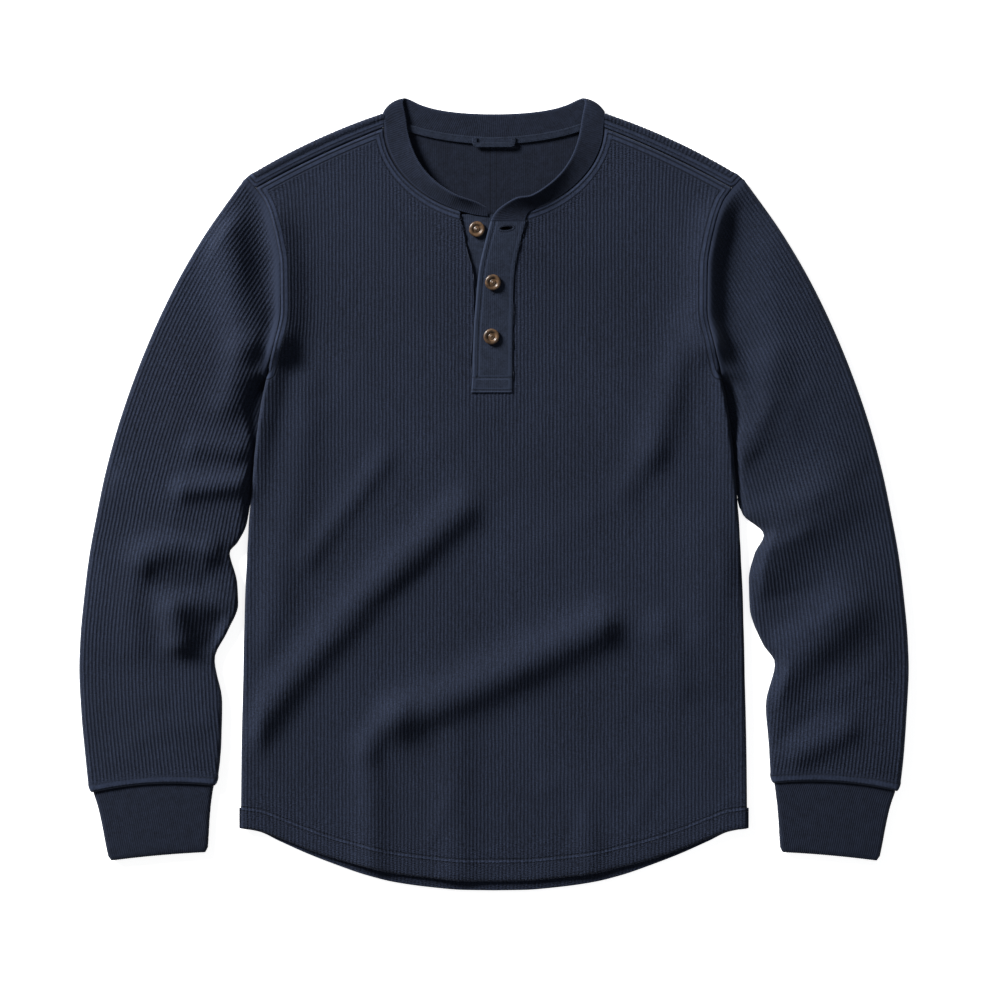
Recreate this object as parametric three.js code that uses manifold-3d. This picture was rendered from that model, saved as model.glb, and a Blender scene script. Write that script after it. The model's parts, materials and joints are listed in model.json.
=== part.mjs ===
// A long-sleeved waffle-knit henley top, laid flat on its back with the front up.
// Millimetres. +Z is up from the surface that it lies on, +Y runs from hem to collar, and +X is the
// wearer's left.
// The origin is on that surface, at the middle of the garment's width and length.
import * as THREE from "three";
import { mergeVertices } from "three/addons/utils/BufferGeometryUtils.js";
import Module from "manifold-3d";

const wasm = await Module();
wasm.setup();

// Cloth and seams
const CLOTH = 1.7; // wall of the waffle knit
const RIB_CLOTH = 2.2; // the neckband and cuffs are fine rib, folded double
const SEAM_GAP = 0.3;
const EDGE_R = 3.6; // half the height of the two layers where they fold over at an edge
const LAID = 2 * EDGE_R; // height of the front's face where nothing lifts it
const LOWEST = 2 * CLOTH + 1; // the front's face where it lies right on the back
const TALLEST = 30; // more than any height in the garment
const SOFTEN = 0.9; // how softly it comes down to that height

// Body
const HEM_Y = -307.1; // the side seams' lower ends
const HEM_HALF = 232.8;
const HEM_FOLD = 19; // depth of the turned-up hem
const HEM_EXTRA = 0.9; // its second layer, pressed thin
const HEM_STEP = 1; // the length over which that layer ends
const UNDERARM_Y = 112.4;
const CURL_END = 4; // above the underarm the panels' edges flatten out over this length
const LAST_COLUMN = 0.955; // where a panel's inner columns end and its edge arcs begin, as a share
const EDGE_ANGLES = [0, 30, 60, 90];
const SAG = 1.5; // how far the front settles between its side seams
const SAG_REACH = 60;

// Shoulders: the back wraps over the fold line to a seam that lies forward of it
const SHOULDER_TIP = [228.2, 290.9];
const SHOULDER_NECK = [101.2, 350.3];
const FORWARD_TIP = [219.0, 280.8];
const FORWARD_NECK = [101.4, 336.2];
const SHOULDER_BOW = 4.2;
const FORWARD_BOW = 2.6;
const FORWARD_GAP = 0.4;
const SHOULDER_LAP = 3; // how far the wrap runs onto the back's flat part, which it is one with

// Neck: both necklines are superellipse arcs that hang from the shoulder seams' inner ends
const FRONT_NECK = { half: 101.4, top: 336.2, depth: 81.2, power: 1.9 };
const BACK_NECK = { half: 101.2, top: 350.3, depth: 27.7, power: 1.8 };
const NECK_LIFT = { height: 4.2, x: 70, y: 240, reach_x: 72, reach_y: 52 };
const BAND_GAP = 1.1; // from the seam line to the middle of the band's edge
const BAND_TURN = 0.85; // how much of the band's rise comes after its seam, where it starts level
const BAND_LOW = 1.2; // mid-height of the band where it lies on the surface

const table = (columns, rows) =>
  rows.map((row) => Object.fromEntries(columns.split(" ").map((name, i) => [name, row[i]])));

// Half the body's width at each height, from hem corner up the side seam and the armhole to the shoulder tip
const BODY_EDGE = table("y half", [
  [-307.1, 232.8],
  [-235.3, 231.8],
  [-143.3, 230.0],
  [-62.4, 227.2],
  [-5.3, 223.6],
  [49.9, 218.5],
  [86.7, 213.4],
  [112.4, 207.5],
  [137.3, 201.5],
  [169.5, 195.5],
  [210.9, 196.0],
  [230.2, 199.0],
  [249.5, 203.4],
  [267.0, 209.4],
  [279.9, 218.1],
  [290.9, 228.2],
]);

// How far each hem drops below the side seams' ends, by distance from the centre
const HEM_DROP = table("out front back", [
  [0, 48.8, 57.4],
  [27.6, 48.3, 57.0],
  [59.8, 45.5, 54.3],
  [92.0, 41.4, 49.7],
  [117.8, 35.4, 43.2],
  [144.4, 28.5, 34.0],
  [171.1, 19.4, 23.6],
  [197.8, 8.6, 11.6],
  [215.3, 2.2, 3.4],
  [232.8, 0, 0],
]);

// Sleeve sections from armhole to cuff: the fold on the outer edge, the underarm seam on the inner edge,
// the radius of those edges, and how far the upper layer swells between them
const SLEEVE_COLUMNS = "along outer_x outer_y inner_x inner_y edge swell";
const SLEEVE_RIGHT = table(SLEEVE_COLUMNS, [
  [0.0, 228.2, 290.9, 207.5, 112.4, 3.6, 0],
  [0.088, 265.9, 237.5, 211.6, 90.3, 3.8, 1.2],
  [0.168, 292.6, 191.5, 216.2, 64.6, 4.1, 2.0],
  [0.251, 315.6, 142.8, 219.9, 36.1, 4.3, 2.4],
  [0.333, 334.0, 95.9, 222.6, 5.7, 4.4, 2.4],
  [0.41, 347.8, 53.5, 226.3, -25.6, 4.4, 2.2],
  [0.472, 357.9, 14.9, 235.5, -44.9, 4.3, 1.8],
  [0.515, 364.3, -16.4, 242.4, -54.1, 4.1, 1.2],
  [0.584, 371.7, -56.9, 235.6, -80.8, 4.4, 2.2],
  [0.642, 376.3, -93.7, 234.6, -101.0, 4.4, 2.4],
  [0.711, 380.0, -134.1, 244.7, -126.8, 4.2, 1.6],
  [0.764, 380.9, -159.9, 256.2, -151.6, 4.0, 1.0],
  [0.845, 379.0, -200.4, 249.3, -191.2, 4.3, 2.4],
  [0.926, 375.4, -239.9, 250.2, -230.7, 4.2, 2.4],
  [1.0, 371.9, -273.8, 253.9, -267.6, 3.9, 1.2],
]);
const SLEEVE_LEFT = table(SLEEVE_COLUMNS, [
  [0.0, 228.2, 290.9, 207.5, 112.4, 3.6, 0],
  [0.089, 265.9, 237.5, 211.6, 90.3, 3.8, 1.2],
  [0.169, 292.6, 191.5, 216.2, 64.6, 4.1, 2.0],
  [0.252, 315.6, 142.8, 219.9, 36.1, 4.3, 2.4],
  [0.334, 334.0, 95.9, 222.6, 5.7, 4.4, 2.4],
  [0.404, 347.8, 53.5, 228.0, -18.2, 4.3, 2.0],
  [0.471, 357.9, 14.9, 247.5, -37.5, 4.1, 1.2],
  [0.52, 364.3, -16.4, 239.2, -54.1, 4.3, 2.0],
  [0.587, 371.7, -56.9, 233.7, -78.9, 4.4, 2.4],
  [0.651, 376.3, -93.7, 234.6, -104.7, 4.3, 2.2],
  [0.728, 380.0, -134.1, 246.6, -137.8, 4.1, 1.4],
  [0.776, 380.9, -159.9, 257.6, -155.6, 4.0, 1.0],
  [0.855, 379.0, -200.4, 249.3, -193.9, 4.3, 2.2],
  [0.933, 376.3, -239.9, 252.1, -230.7, 4.2, 2.4],
  [1.0, 372.6, -272.6, 253.9, -265.4, 3.9, 1.2],
]);
const SLEEVE_CLEAR = 0.8; // gap between a sleeve's inner edge and the side seam that it lies against
const ARMHOLE_GAP = 0.9;
const CLEAR_FROM_Y = -120; // above this the sleeve's inner edge may lie along the side seam
const SLEEVE_STEPS = 25;
const ARMHOLE_REACH = 0.45; // the share of the sleeve over which the armhole's curve dies away
const CUFF_ARCH = 5; // how far the cuff seam rises between the sleeve's two edges
const CUFF_ARCH_FROM = 0.86; // the share of the sleeve's length where that rise begins

// Cuff sections below the one that is sewn to the sleeve's end
const CUFF = table("outer_x outer_y inner_x inner_y arch", [
  [363.9, -287.2, 259.4, -279.0, 4],
  [360.0, -304.4, 261.2, -296.8, 2.5],
  [356.6, -322.5, 262.2, -313.4, 1.5],
  [353.6, -336.6, 263.2, -328.8, 1],
]);
const CUFF_EDGE = 3.3;
const CUFF_SWELL = 0.8;
const CUFF_GAP = 0.4;
const CUFF_INSET = 0.028; // how much narrower the cuff starts than the sleeve, as a share at each edge

// Folds that the cloth has taken. Each is a soft ridge, or a trough where height is negative, along a line
// that bows sideways by bow at its middle.
const FOLDS = table("x1 y1 x2 y2 bow width height", [
  // the long drags across the body
  [-222, -215, -30, -15, -8, 17, 8.0],
  [-85, -207, 96, -121, 2, 20, 10.0],
  [104, -118, 152, -128, -4, 18, 2.4],
  [152, -126, 170, -172, -4, 16, 3.2],
  [-118, -232, -84, -196, -3, 12, 4.0],
  [-112, -345, -114, -240, 0, 14, 3.5],
  [-34, -345, -36, -230, 0, 18, 3.0],
  [88, -340, 84, -290, 0, 12, 1.8],
  [50, -268, 105, -274, -5, 9, 1.4],
  // the pulls up the sides of the body
  [-170, -58, -102, 30, 0, 11, 3.2],
  [-206, -130, -172, 100, 4, 18, 3.0],
  [180, 150, 146, 40, 0, 17, 4.4],
  [146, 42, 122, 4, 0, 13, 2.2],
  [190, -40, 196, -170, 0, 20, 2.0],
  // the wearer's right sleeve: its crest and trough beside the armhole, then down to the cuff
  [-247, 232, -240, 85, 0, 15, 7.2],
  [-228, 240, -224, 122, 0, 10, -3.4],
  [-284, 4, -228, 10, 0, 10, 6.5],
  [-272, 44, -236, 40, 0, 10, 4.0],
  [-340, 10, -300, -25, 0, 18, 3.0],
  [-320, -58, -266, -53, -6, 15, 7.5],
  [-312, -84, -268, -84, 4, 12, -2.5],
  [-292, -108, -286, -136, 0, 14, 10.0],
  [-254, -122, -250, -138, 0, 16, -5.0],
  [-328, -136, -332, -98, 0, 15, 2.2],
  [-275, -95, -245, -108, 0, 9, 3.0],
  // the wearer's left sleeve, in the same order
  [224, 250, 220, 60, 0, 11, -4.0],
  [255, 125, 250, 95, 0, 14, 4.0],
  [253, 79, 225, 34, 0, 11, 4.5],
  [240, -64, 308, -2, 0, 29, 9.0],
  [240, -20, 290, -2, 0, 14, 2.4],
  [258, -168, 322, -108, 0, 24, 9.0],
  [278, -238, 322, -216, 0, 13, 4.5],
  [255, -215, 258, -240, 0, 7, 2.0],
  [268, 110, 272, 60, 0, 12, 1.5],
]);
const FOLD_FADE = 22; // folds die away over this distance from a folded edge

// Neckband stations over half the neck. zone says which line the seam point lies on, at which angle;
// edge is the free edge, layer runs from 0 on the back to 1 on the front, rise tips the free edge up.
const BAND = table("zone angle seam_x seam_y edge_x edge_y layer rise", [
  ["front", 12, 0, 0, 15.2, 267.2, 1, 8.5],
  ["front", 24, 0, 0, 34.0, 273.8, 1, 8.5],
  ["front", 37, 0, 0, 50.6, 284.4, 1, 7.2],
  ["front", 50, 0, 0, 62.8, 296.6, 1, 5.5],
  ["front", 63, 0, 0, 71.1, 309.7, 1, 4.0],
  ["front", 75, 0, 0, 76.4, 323.4, 1, 2.5],
  ["front", 83, 0, 0, 79.0, 334.0, 1, 1.6],
  ["front", 90, 0, 0, 80.8, 345.6, 1, 0.9],
  ["fold", 0, 101.2, 344.8, 81.2, 355.2, 1, 0.3],
  ["fold", 0, 100.8, 348.8, 80.6, 362.0, 0.86, 0],
  ["fold", 0, 100.4, 350.2, 80.0, 363.6, 0.5, 0],
  ["fold", 0, 99.4, 349.2, 79.0, 362.3, 0.14, 0],
  ["back", 74, 0, 0, 75.6, 361.0, 0, 0],
  ["back", 62, 0, 0, 67.0, 358.0, 0, 0.2],
  ["back", 49, 0, 0, 56.0, 354.6, 0, 0.5],
  ["back", 36, 0, 0, 42.3, 352.0, 0, 0.8],
  ["back", 23, 0, 0, 26.0, 350.3, 0, 1.0],
  ["back", 11, 0, 0, 12.4, 349.6, 0, 1.0],
  ["back", 0, 0, 0, 0, 349.4, 0, 1.0],
]);
// The band's two front ends: the wearer's right one lies on the under placket, and the left one runs into
// the over placket
const BAND_END_RIGHT = { seam: [-6.6, 256.2], edge: [-6.8, 262.6], rise: 4.6 };
const BAND_END_LEFT = { seam: [0.4, 256.0], edge: [0.2, 260.6], rise: 3.0 };

// Plackets: left and right edges by height. The over placket carries the buttonholes.
const OVER_PLACKET = table("y left right", [
  [93.6, -21.0, 17.0],
  [106.0, -20.2, 17.0],
  [148.3, -18.9, 17.2],
  [176.4, -16.7, 17.8],
  [204.6, -14.0, 19.1],
  [232.8, -7.6, 24.8],
  [253.6, -1.2, 29.0],
]);
const UNDER_PLACKET = table("y left right", [
  [94.0, -21.5, 14.0],
  [187.9, -21.5, 14.0],
  [224.7, -23.9, 12.0],
  [253.6, -30.0, 4.0],
]);
const PLACKET_SLOT_GAP = 0.4;
const OVER_PROUD = 1.3; // how far the over placket stands above the front
const OVER_CLOTH = 2.0;
const UNDER_CLOTH = 1.8;
const UNDER_DROP = OVER_CLOTH - OVER_PROUD + SEAM_GAP;
const BUTTONHOLES = table("x y length width turn", [
  [12.4, 243.4, 15, 1.6, 8],
  [-0.9, 191.8, 16, 1.4, 92],
  [-2.3, 142.1, 16, 1.4, 90],
]);

// Buttons: a raised rim round a dished centre with a domed boss
const BUTTON_R = 7.3;
const BUTTON_H = 3.0;
const BUTTON_FOOT = 0.72; // radius of its flat underside, as a share
// its outline from the middle of the underside round the rim to the middle of the boss, as shares
const BUTTON_PROFILE = table("out up", [
  [0, 0],
  [BUTTON_FOOT, 0],
  [0.93, 0.14],
  [1, 0.42],
  [0.98, 0.72],
  [0.88, 0.95],
  [0.72, 1],
  [0.58, 0.9],
  [0.46, 0.62],
  [0.38, 0.56],
  [0.26, 0.74],
  [0.12, 0.84],
  [0, 0.86],
]);
const BUTTONS = table("name x y on", [
  ["button_top", -15.6, 243.0, "under"],
  ["button_middle", -0.9, 194.3, "over"],
  ["button_low", -2.3, 144.6, "over"],
]);

// Back neck tape over the band's seam, and the hanging loop below it
const TAPE = { below: 1.2, above: 5.4, thick: 1.0, slope: 0.06, end_angle: 66 };
const TAPE_BASE = BAND_LOW + RIB_CLOTH / 2 + SEAM_GAP;
const LOOP_BASE = TAPE_BASE + TAPE.thick + TAPE.slope * TAPE.above + SEAM_GAP;
const LOOP = { half: 20, top: 327.4, bottom: 318.6, strap: 4.4, thick: 1.0, corner: 1.6 };

const COLOURS = { knit: 0x232b3d, rib: 0x1f2738, button: 0x6b4a2e };
const knit = new THREE.MeshStandardMaterial({ color: COLOURS.knit, roughness: 0.95, metalness: 0 });
const rib = new THREE.MeshStandardMaterial({ color: COLOURS.rib, roughness: 0.92, metalness: 0 });
const horn = new THREE.MeshStandardMaterial({ color: COLOURS.button, roughness: 0.45, metalness: 0 });

const lerp = (a, b, share) => a + (b - a) * share;
const lerpPoint = (a, b, share) => a.map((value, i) => lerp(value, b[i], share));
const radians = (degrees) => (degrees * Math.PI) / 180;
const spread = (from, to, steps) => Array.from({ length: steps + 1 }, (_, i) => lerp(from, to, i / steps));
const lengthOf = ([x1, y1], [x2, y2]) => Math.hypot(x2 - x1, y2 - y1);
const smoothstep = (value) => {
  const t = Math.min(1, Math.max(0, value));
  return t * t * (3 - 2 * t);
};

// A smooth curve through a table's rows that never overshoots them (Fritsch and Carlson's cubic)
function curve(rows, key, name) {
  const x = rows.map((row) => row[key]);
  const y = rows.map((row) => row[name]);
  const steps = x.slice(1).map((value, i) => (y[i + 1] - y[i]) / (value - x[i]));
  const slopes = y.map((_, i) => {
    if (i === 0) return steps[0];
    if (i === steps.length) return steps[i - 1];
    if (steps[i - 1] * steps[i] <= 0) return 0;
    return (2 * steps[i - 1] * steps[i]) / (steps[i - 1] + steps[i]);
  });
  return (at) => {
    let i = x.findIndex((value) => value > at) - 1;
    if (i < 0) i = at < x[0] ? 0 : x.length - 2;
    const width = x[i + 1] - x[i];
    const t = Math.min(1, Math.max(0, (at - x[i]) / width));
    const [t2, t3] = [t * t, t * t * t];
    return (
      y[i] * (2 * t3 - 3 * t2 + 1) +
      slopes[i] * width * (t3 - 2 * t2 + t) +
      y[i + 1] * (3 * t2 - 2 * t3) +
      slopes[i + 1] * width * (t3 - t2)
    );
  };
}

// Triangles of a closed wall between two grids of points. Columns join up where ring is true.
function wall(outer, inner, ring = false) {
  const rows = outer.length;
  const columns = outer[0].length;
  const last = ring ? columns : columns - 1;
  const position = [...outer.flat(), ...inner.flat()].flat();
  const index = [];
  const at = (side, row, column) => side * rows * columns + row * columns + (column % columns);
  const quad = (a, b, c, d) => index.push(a, b, c, a, c, d);
  for (let r = 0; r < rows - 1; r++)
    for (let c = 0; c < last; c++) {
      quad(at(0, r, c), at(0, r, c + 1), at(0, r + 1, c + 1), at(0, r + 1, c));
      quad(at(1, r, c), at(1, r + 1, c), at(1, r + 1, c + 1), at(1, r, c + 1));
    }
  for (let c = 0; c < last; c++) {
    quad(at(0, 0, c), at(1, 0, c), at(1, 0, c + 1), at(0, 0, c + 1));
    quad(at(0, rows - 1, c), at(0, rows - 1, c + 1), at(1, rows - 1, c + 1), at(1, rows - 1, c));
  }
  if (!ring)
    for (let r = 0; r < rows - 1; r++) {
      quad(at(0, r, 0), at(0, r + 1, 0), at(1, r + 1, 0), at(1, r, 0));
      quad(at(0, r, last), at(1, r, last), at(1, r + 1, last), at(0, r + 1, last));
    }
  return facingOut(position, index);
}

// A geometry of these triangles, turned over where they enclose a negative volume
function facingOut(position, index) {
  const point = (i) => new THREE.Vector3(...position.slice(3 * i, 3 * i + 3));
  let volume = 0;
  for (let i = 0; i < index.length; i += 3) {
    const [a, b, c] = index.slice(i, i + 3).map(point);
    volume += a.dot(b.cross(c));
  }
  const geometry = new THREE.BufferGeometry();
  geometry.setAttribute("position", new THREE.Float32BufferAttribute(position, 3));
  geometry.setIndex(volume < 0 ? index.reverse() : index);
  return geometry;
}

// A geometry as a solid that can be joined and cut
function solid(geometry) {
  const bare = new THREE.BufferGeometry();
  bare.setAttribute("position", geometry.getAttribute("position"));
  bare.setIndex(geometry.index);
  const merged = mergeVertices(bare, 1e-3);
  return new wasm.Manifold(
    new wasm.Mesh({
      numProp: 3,
      vertProperties: new Float32Array(merged.attributes.position.array),
      triVerts: new Uint32Array(merged.index.array),
    }),
  );
}

function geometryOf(manifold) {
  const found = manifold.getMesh();
  const geometry = new THREE.BufferGeometry();
  geometry.setAttribute("position", new THREE.BufferAttribute(new Float32Array(found.vertProperties), 3));
  geometry.setIndex(new THREE.BufferAttribute(new Uint32Array(found.triVerts), 1));
  return geometry;
}

// An upright prism through the whole garment, for cutting
function prism(points) {
  const shape = new THREE.Shape(points.map(([x, y]) => new THREE.Vector2(x, y)));
  const geometry = new THREE.ExtrudeGeometry(shape, { depth: 2 * TALLEST, bevelEnabled: false });
  return solid(geometry.translate(0, 0, -TALLEST / 2));
}

// Shape of the laid garment, seen from above
const bodyEdge = curve(BODY_EDGE, "y", "half");
const frontDrop = curve(HEM_DROP, "out", "front");
const backDrop = curve(HEM_DROP, "out", "back");

function bowed([x1, y1], [x2, y2], bow, share) {
  const length = Math.hypot(x2 - x1, y2 - y1);
  const out = (4 * bow * share * (1 - share)) / length;
  return [lerp(x1, x2, share) + Math.abs(y2 - y1) * out, lerp(y1, y2, share) + Math.abs(x2 - x1) * out];
}
const SHOULDER_DROP = (EDGE_R * lengthOf(SHOULDER_TIP, SHOULDER_NECK)) / (SHOULDER_TIP[0] - SHOULDER_NECK[0]);
const BACK_TOP = [bodyEdge(SHOULDER_TIP[1] - SHOULDER_DROP), SHOULDER_TIP[1] - SHOULDER_DROP];
const shoulderLine = (share) => bowed(SHOULDER_TIP, SHOULDER_NECK, SHOULDER_BOW, share);
const forwardSeam = (share) => bowed(FORWARD_TIP, FORWARD_NECK, FORWARD_BOW, share);

function neckPoint(neck, angle) {
  const power = 2 / neck.power;
  return [
    neck.half * Math.sin(radians(angle)) ** power,
    neck.top - neck.depth * Math.cos(radians(angle)) ** power,
  ];
}

function foldLift(x, y) {
  let lift = 0;
  for (const fold of FOLDS) {
    const [dx, dy] = [fold.x2 - fold.x1, fold.y2 - fold.y1];
    const length = Math.hypot(dx, dy);
    const share = ((x - fold.x1) * dx + (y - fold.y1) * dy) / (length * length);
    const held = Math.min(1, Math.max(0, share));
    const across = ((x - fold.x1) * dy - (y - fold.y1) * dx) / length - 4 * fold.bow * held * (1 - held);
    const beyond = (share - held) * length;
    lift += fold.height * Math.exp(-(across * across + beyond * beyond) / (fold.width * fold.width));
  }
  return lift;
}

function neckLift(x, y) {
  const [across, along] = [x / NECK_LIFT.reach_x, (y - NECK_LIFT.y) / NECK_LIFT.reach_y];
  return NECK_LIFT.height * Math.exp(-across * across - along * along);
}

// Keeps a height from going under the lowest one, softly
const settle = (height) => LOWEST + SOFTEN * Math.log(1 + Math.exp((height - LOWEST) / SOFTEN));

// Height of the front's face: full at its edges, settled between them, lifted by folds and at the neck
function frontFace(x, y) {
  const inside = bodyEdge(y) - Math.abs(x);
  const sag = SAG * smoothstep(inside / SAG_REACH);
  return settle(LAID - sag + foldLift(x, y) * smoothstep(inside / FOLD_FADE) + neckLift(x, y));
}

// Columns of a body panel inside its edge arcs, as shares of the half width: at the neckline's angles, then
// evenly along the shoulder
function bodyColumns(half, neck, angles, shoulderSteps) {
  const neckSide = angles.map((angle) => neckPoint(neck, angle)[0] / half);
  const shoulder = spread(neck.half / half, LAST_COLUMN, shoulderSteps).slice(1);
  const side = [...neckSide, ...shoulder];
  return [...side.map((share) => -share).reverse(), 0, ...side];
}

// A body panel's plan: the surface between its hem, its two sides and its top edge
function panelPlan(drop, top, topY) {
  const corner = bodyEdge(topY);
  return (share, v) => {
    const hemY = HEM_Y - drop(Math.abs(share) * HEM_HALF);
    const [topX, topYAt] = top(share);
    const bend = bodyEdge(lerp(HEM_Y, topY, v)) - lerp(HEM_HALF, corner, v); // felt mostly near the side
    return [lerp(share * HEM_HALF, topX, v) + share ** 3 * bend, lerp(hemY, topYAt, v)];
  };
}

const anglesOf = (zone) => BAND.filter((row) => row.zone === zone && row.angle > 0).map((row) => row.angle);
const FRONT_NECK_ANGLES = anglesOf("front");
const BACK_NECK_ANGLES = [...anglesOf("back").reverse(), 90];

function frontTop(share) {
  const x = Math.abs(share) * FORWARD_TIP[0];
  if (x > FRONT_NECK.half) {
    const [, y] = forwardSeam((FORWARD_TIP[0] - x) / (FORWARD_TIP[0] - FRONT_NECK.half));
    return [Math.sign(share) * x, y];
  }
  const inside = 1 - (x / FRONT_NECK.half) ** FRONT_NECK.power;
  return [Math.sign(share) * x, FRONT_NECK.top - FRONT_NECK.depth * inside ** (1 / FRONT_NECK.power)];
}

// The back's flat part stops short of the shoulder fold, which shoulderWrap carries over
function backTop(share) {
  const x = Math.abs(share) * BACK_TOP[0];
  if (x > BACK_NECK.half) {
    const [, y] = shoulderLine((SHOULDER_TIP[0] - x) / (SHOULDER_TIP[0] - BACK_NECK.half));
    return [Math.sign(share) * x, y - SHOULDER_DROP];
  }
  const inside = 1 - (x / BACK_NECK.half) ** BACK_NECK.power;
  const y = BACK_NECK.top - BACK_NECK.depth * inside ** (1 / BACK_NECK.power);
  return [Math.sign(share) * x, Math.min(y, BACK_NECK.top - SHOULDER_DROP)];
}

// Rows of a body panel, as shares of the height at the side seam: the hem's fold, the side seam, the armhole
function bodyRows(topY, sideSteps, armholeSteps) {
  const share = (y) => (y - HEM_Y) / (topY - HEM_Y);
  const side = spread(HEM_Y + HEM_FOLD + HEM_STEP, UNDERARM_Y, sideSteps).map(share);
  const armhole = spread(UNDERARM_Y + CURL_END, topY, armholeSteps).map(share);
  return [0, share(HEM_Y + HEM_FOLD), ...side, ...armhole];
}

// One body panel as a wall. face gives the outer height, sign is 1 where the outside faces up.
function bodyPanel({ plan, columns, rows, topY, face, sign, edgeTop }) {
  const outer = [];
  const inner = [];
  for (const v of rows) {
    const y = lerp(HEM_Y, topY, v);
    const half = bodyEdge(y);
    const curl = y <= UNDERARM_Y ? 1 : 0;
    const thick = CLOTH + (y < HEM_Y + HEM_FOLD + HEM_STEP / 2 ? HEM_EXTRA : 0);
    const edge = EDGE_ANGLES.map((angle) => {
      const [cos, sin] = [Math.cos(radians(angle)), Math.sin(radians(angle))];
      const outside = EDGE_R * (1 - cos);
      const r = EDGE_R - thick;
      return {
        outside,
        inside: lerp(outside, thick + r * (1 - cos), curl),
        outsideDrop: curl * EDGE_R * (1 - sin),
        insideDrop: curl * r * (1 - sin),
      };
    });
    const points = [
      ...edge.map((e) => ({ ...e, out: -1 + e.outside / half, in: -1 + e.inside / half })),
      ...columns.map((share) => ({ out: share, in: share, outsideDrop: 0, insideDrop: 0 })),
      ...[...edge].reverse().map((e) => ({ ...e, out: 1 - e.outside / half, in: 1 - e.inside / half })),
    ];
    outer.push(
      points.map((p) => {
        const [x, yAt] = plan(p.out, v);
        return [x, yAt, face(x, yAt) - sign * p.outsideDrop];
      }),
    );
    inner.push(
      points.map((p) => {
        const [x, yAt] = plan(p.in, v);
        const z = face(x, yAt) - sign * (thick + p.insideDrop);
        return [x, yAt, curl && edgeTop !== undefined ? Math.min(z, edgeTop) : z];
      }),
    );
  }
  return wall(outer, inner);
}

// Front panel, cut away where the plackets go
function makeFront() {
  const panel = bodyPanel({
    plan: panelPlan(frontDrop, frontTop, FORWARD_TIP[1]),
    columns: bodyColumns(FORWARD_TIP[0], FRONT_NECK, FRONT_NECK_ANGLES, 6),
    rows: bodyRows(FORWARD_TIP[1], 19, 10),
    topY: FORWARD_TIP[1],
    face: frontFace,
    sign: 1,
  });
  const lefts = UNDER_PLACKET.map(({ y, left }) => [left - PLACKET_SLOT_GAP, y]);
  const rights = OVER_PLACKET.map(({ y, right }) => [right + PLACKET_SLOT_GAP, y]);
  const bottom = OVER_PLACKET[0].y - PLACKET_SLOT_GAP;
  const above = FRONT_NECK.top;
  const slot = [
    [lefts[0][0], bottom],
    [rights[0][0], bottom],
    ...rights.slice(1),
    [rights.at(-1)[0] + 2, above],
    [lefts.at(-1)[0] - 2, above],
    ...lefts.slice(1).reverse(),
  ];
  return geometryOf(solid(panel).subtract(prism(slot)));
}

// One shoulder of the back: up round the fold and down the front to the forward seam
function shoulderWrap(side) {
  const outer = [];
  const inner = [];
  for (const share of spread(0, 1, 9)) {
    const fold = shoulderLine(share);
    const seam = forwardSeam(share);
    const width = lengthOf(fold, seam);
    const place = (d) => {
      const [x, y] = lerpPoint(fold, seam, d / width);
      return [side * x, y];
    };
    const upper = (d, depth) => {
      const [x, y] = place(d);
      return [x, y, lerp(LAID, frontFace(x, y), smoothstep((d - EDGE_R) / EDGE_R)) - depth];
    };
    const turn = (r) =>
      spread(-75, 75, 5).map((angle) => {
        const [x, y] = place(EDGE_R - r * Math.cos(radians(angle)));
        return [x, y, EDGE_R + r * Math.sin(radians(angle))];
      });
    const lower = (height) => [EDGE_R + SHOULDER_LAP, EDGE_R].map((d) => [...place(d), height]);
    const ends = [EDGE_R, 0.6 * width, width - FORWARD_GAP];
    outer.push([...lower(0), ...turn(EDGE_R), ...ends.map((d) => upper(d, 0))]);
    inner.push([...lower(CLOTH), ...turn(EDGE_R - CLOTH), ...ends.map((d) => upper(d, CLOTH))]);
  }
  return wall(outer, inner);
}

function makeBack() {
  const flat = bodyPanel({
    plan: panelPlan(backDrop, backTop, BACK_TOP[1]),
    columns: bodyColumns(BACK_TOP[0], BACK_NECK, BACK_NECK_ANGLES, 3),
    rows: bodyRows(BACK_TOP[1], 9, 9),
    topY: BACK_TOP[1],
    face: () => 0,
    sign: -1,
    edgeTop: EDGE_R - SEAM_GAP,
  });
  const seam = new THREE.BoxGeometry(4 * HEM_HALF, 4 * HEM_HALF, EDGE_R - SEAM_GAP);
  const below = solid(seam.translate(0, 0, (EDGE_R - SEAM_GAP) / 2));
  const shoulders = [-1, 1].map((side) => solid(shoulderWrap(side)));
  return geometryOf(solid(flat).intersect(below).add(shoulders[0]).add(shoulders[1]));
}

// One section of a flattened tube, wound from its seam edge over the top to its fold and back underneath
function tubeRing({ plan, width, edge, thick, lift, over, under }) {
  const ring = (r) => {
    const foldSide = (angle) => {
      const turn = radians(angle);
      return [edge - r * Math.cos(turn), edge + r * Math.sin(turn), angle];
    };
    const seamSide = (angle) => [width - foldSide(angle)[0], ...foldSide(angle).slice(1)];
    const flat = (steps, angle) =>
      spread(edge, width - edge, steps)
        .slice(1, -1)
        .map((d) => [d, edge + r * Math.sin(radians(angle)), angle]);
    return [
      ...[0, 30, 60, 90].map(seamSide),
      ...flat(over, 90).reverse(),
      ...[90, 60, 30, 0, -45, -90].map(foldSide),
      ...flat(under, -90),
      ...[-90, -45].map(seamSide),
    ];
  };
  const place = ([d, z, angle]) => {
    const [x, y] = plan(d / width);
    return [x, y, z + Math.max(0, Math.sin(radians(angle))) * lift(x, y, d)];
  };
  return [ring(edge).map(place), ring(edge - thick).map(place)];
}

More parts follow.
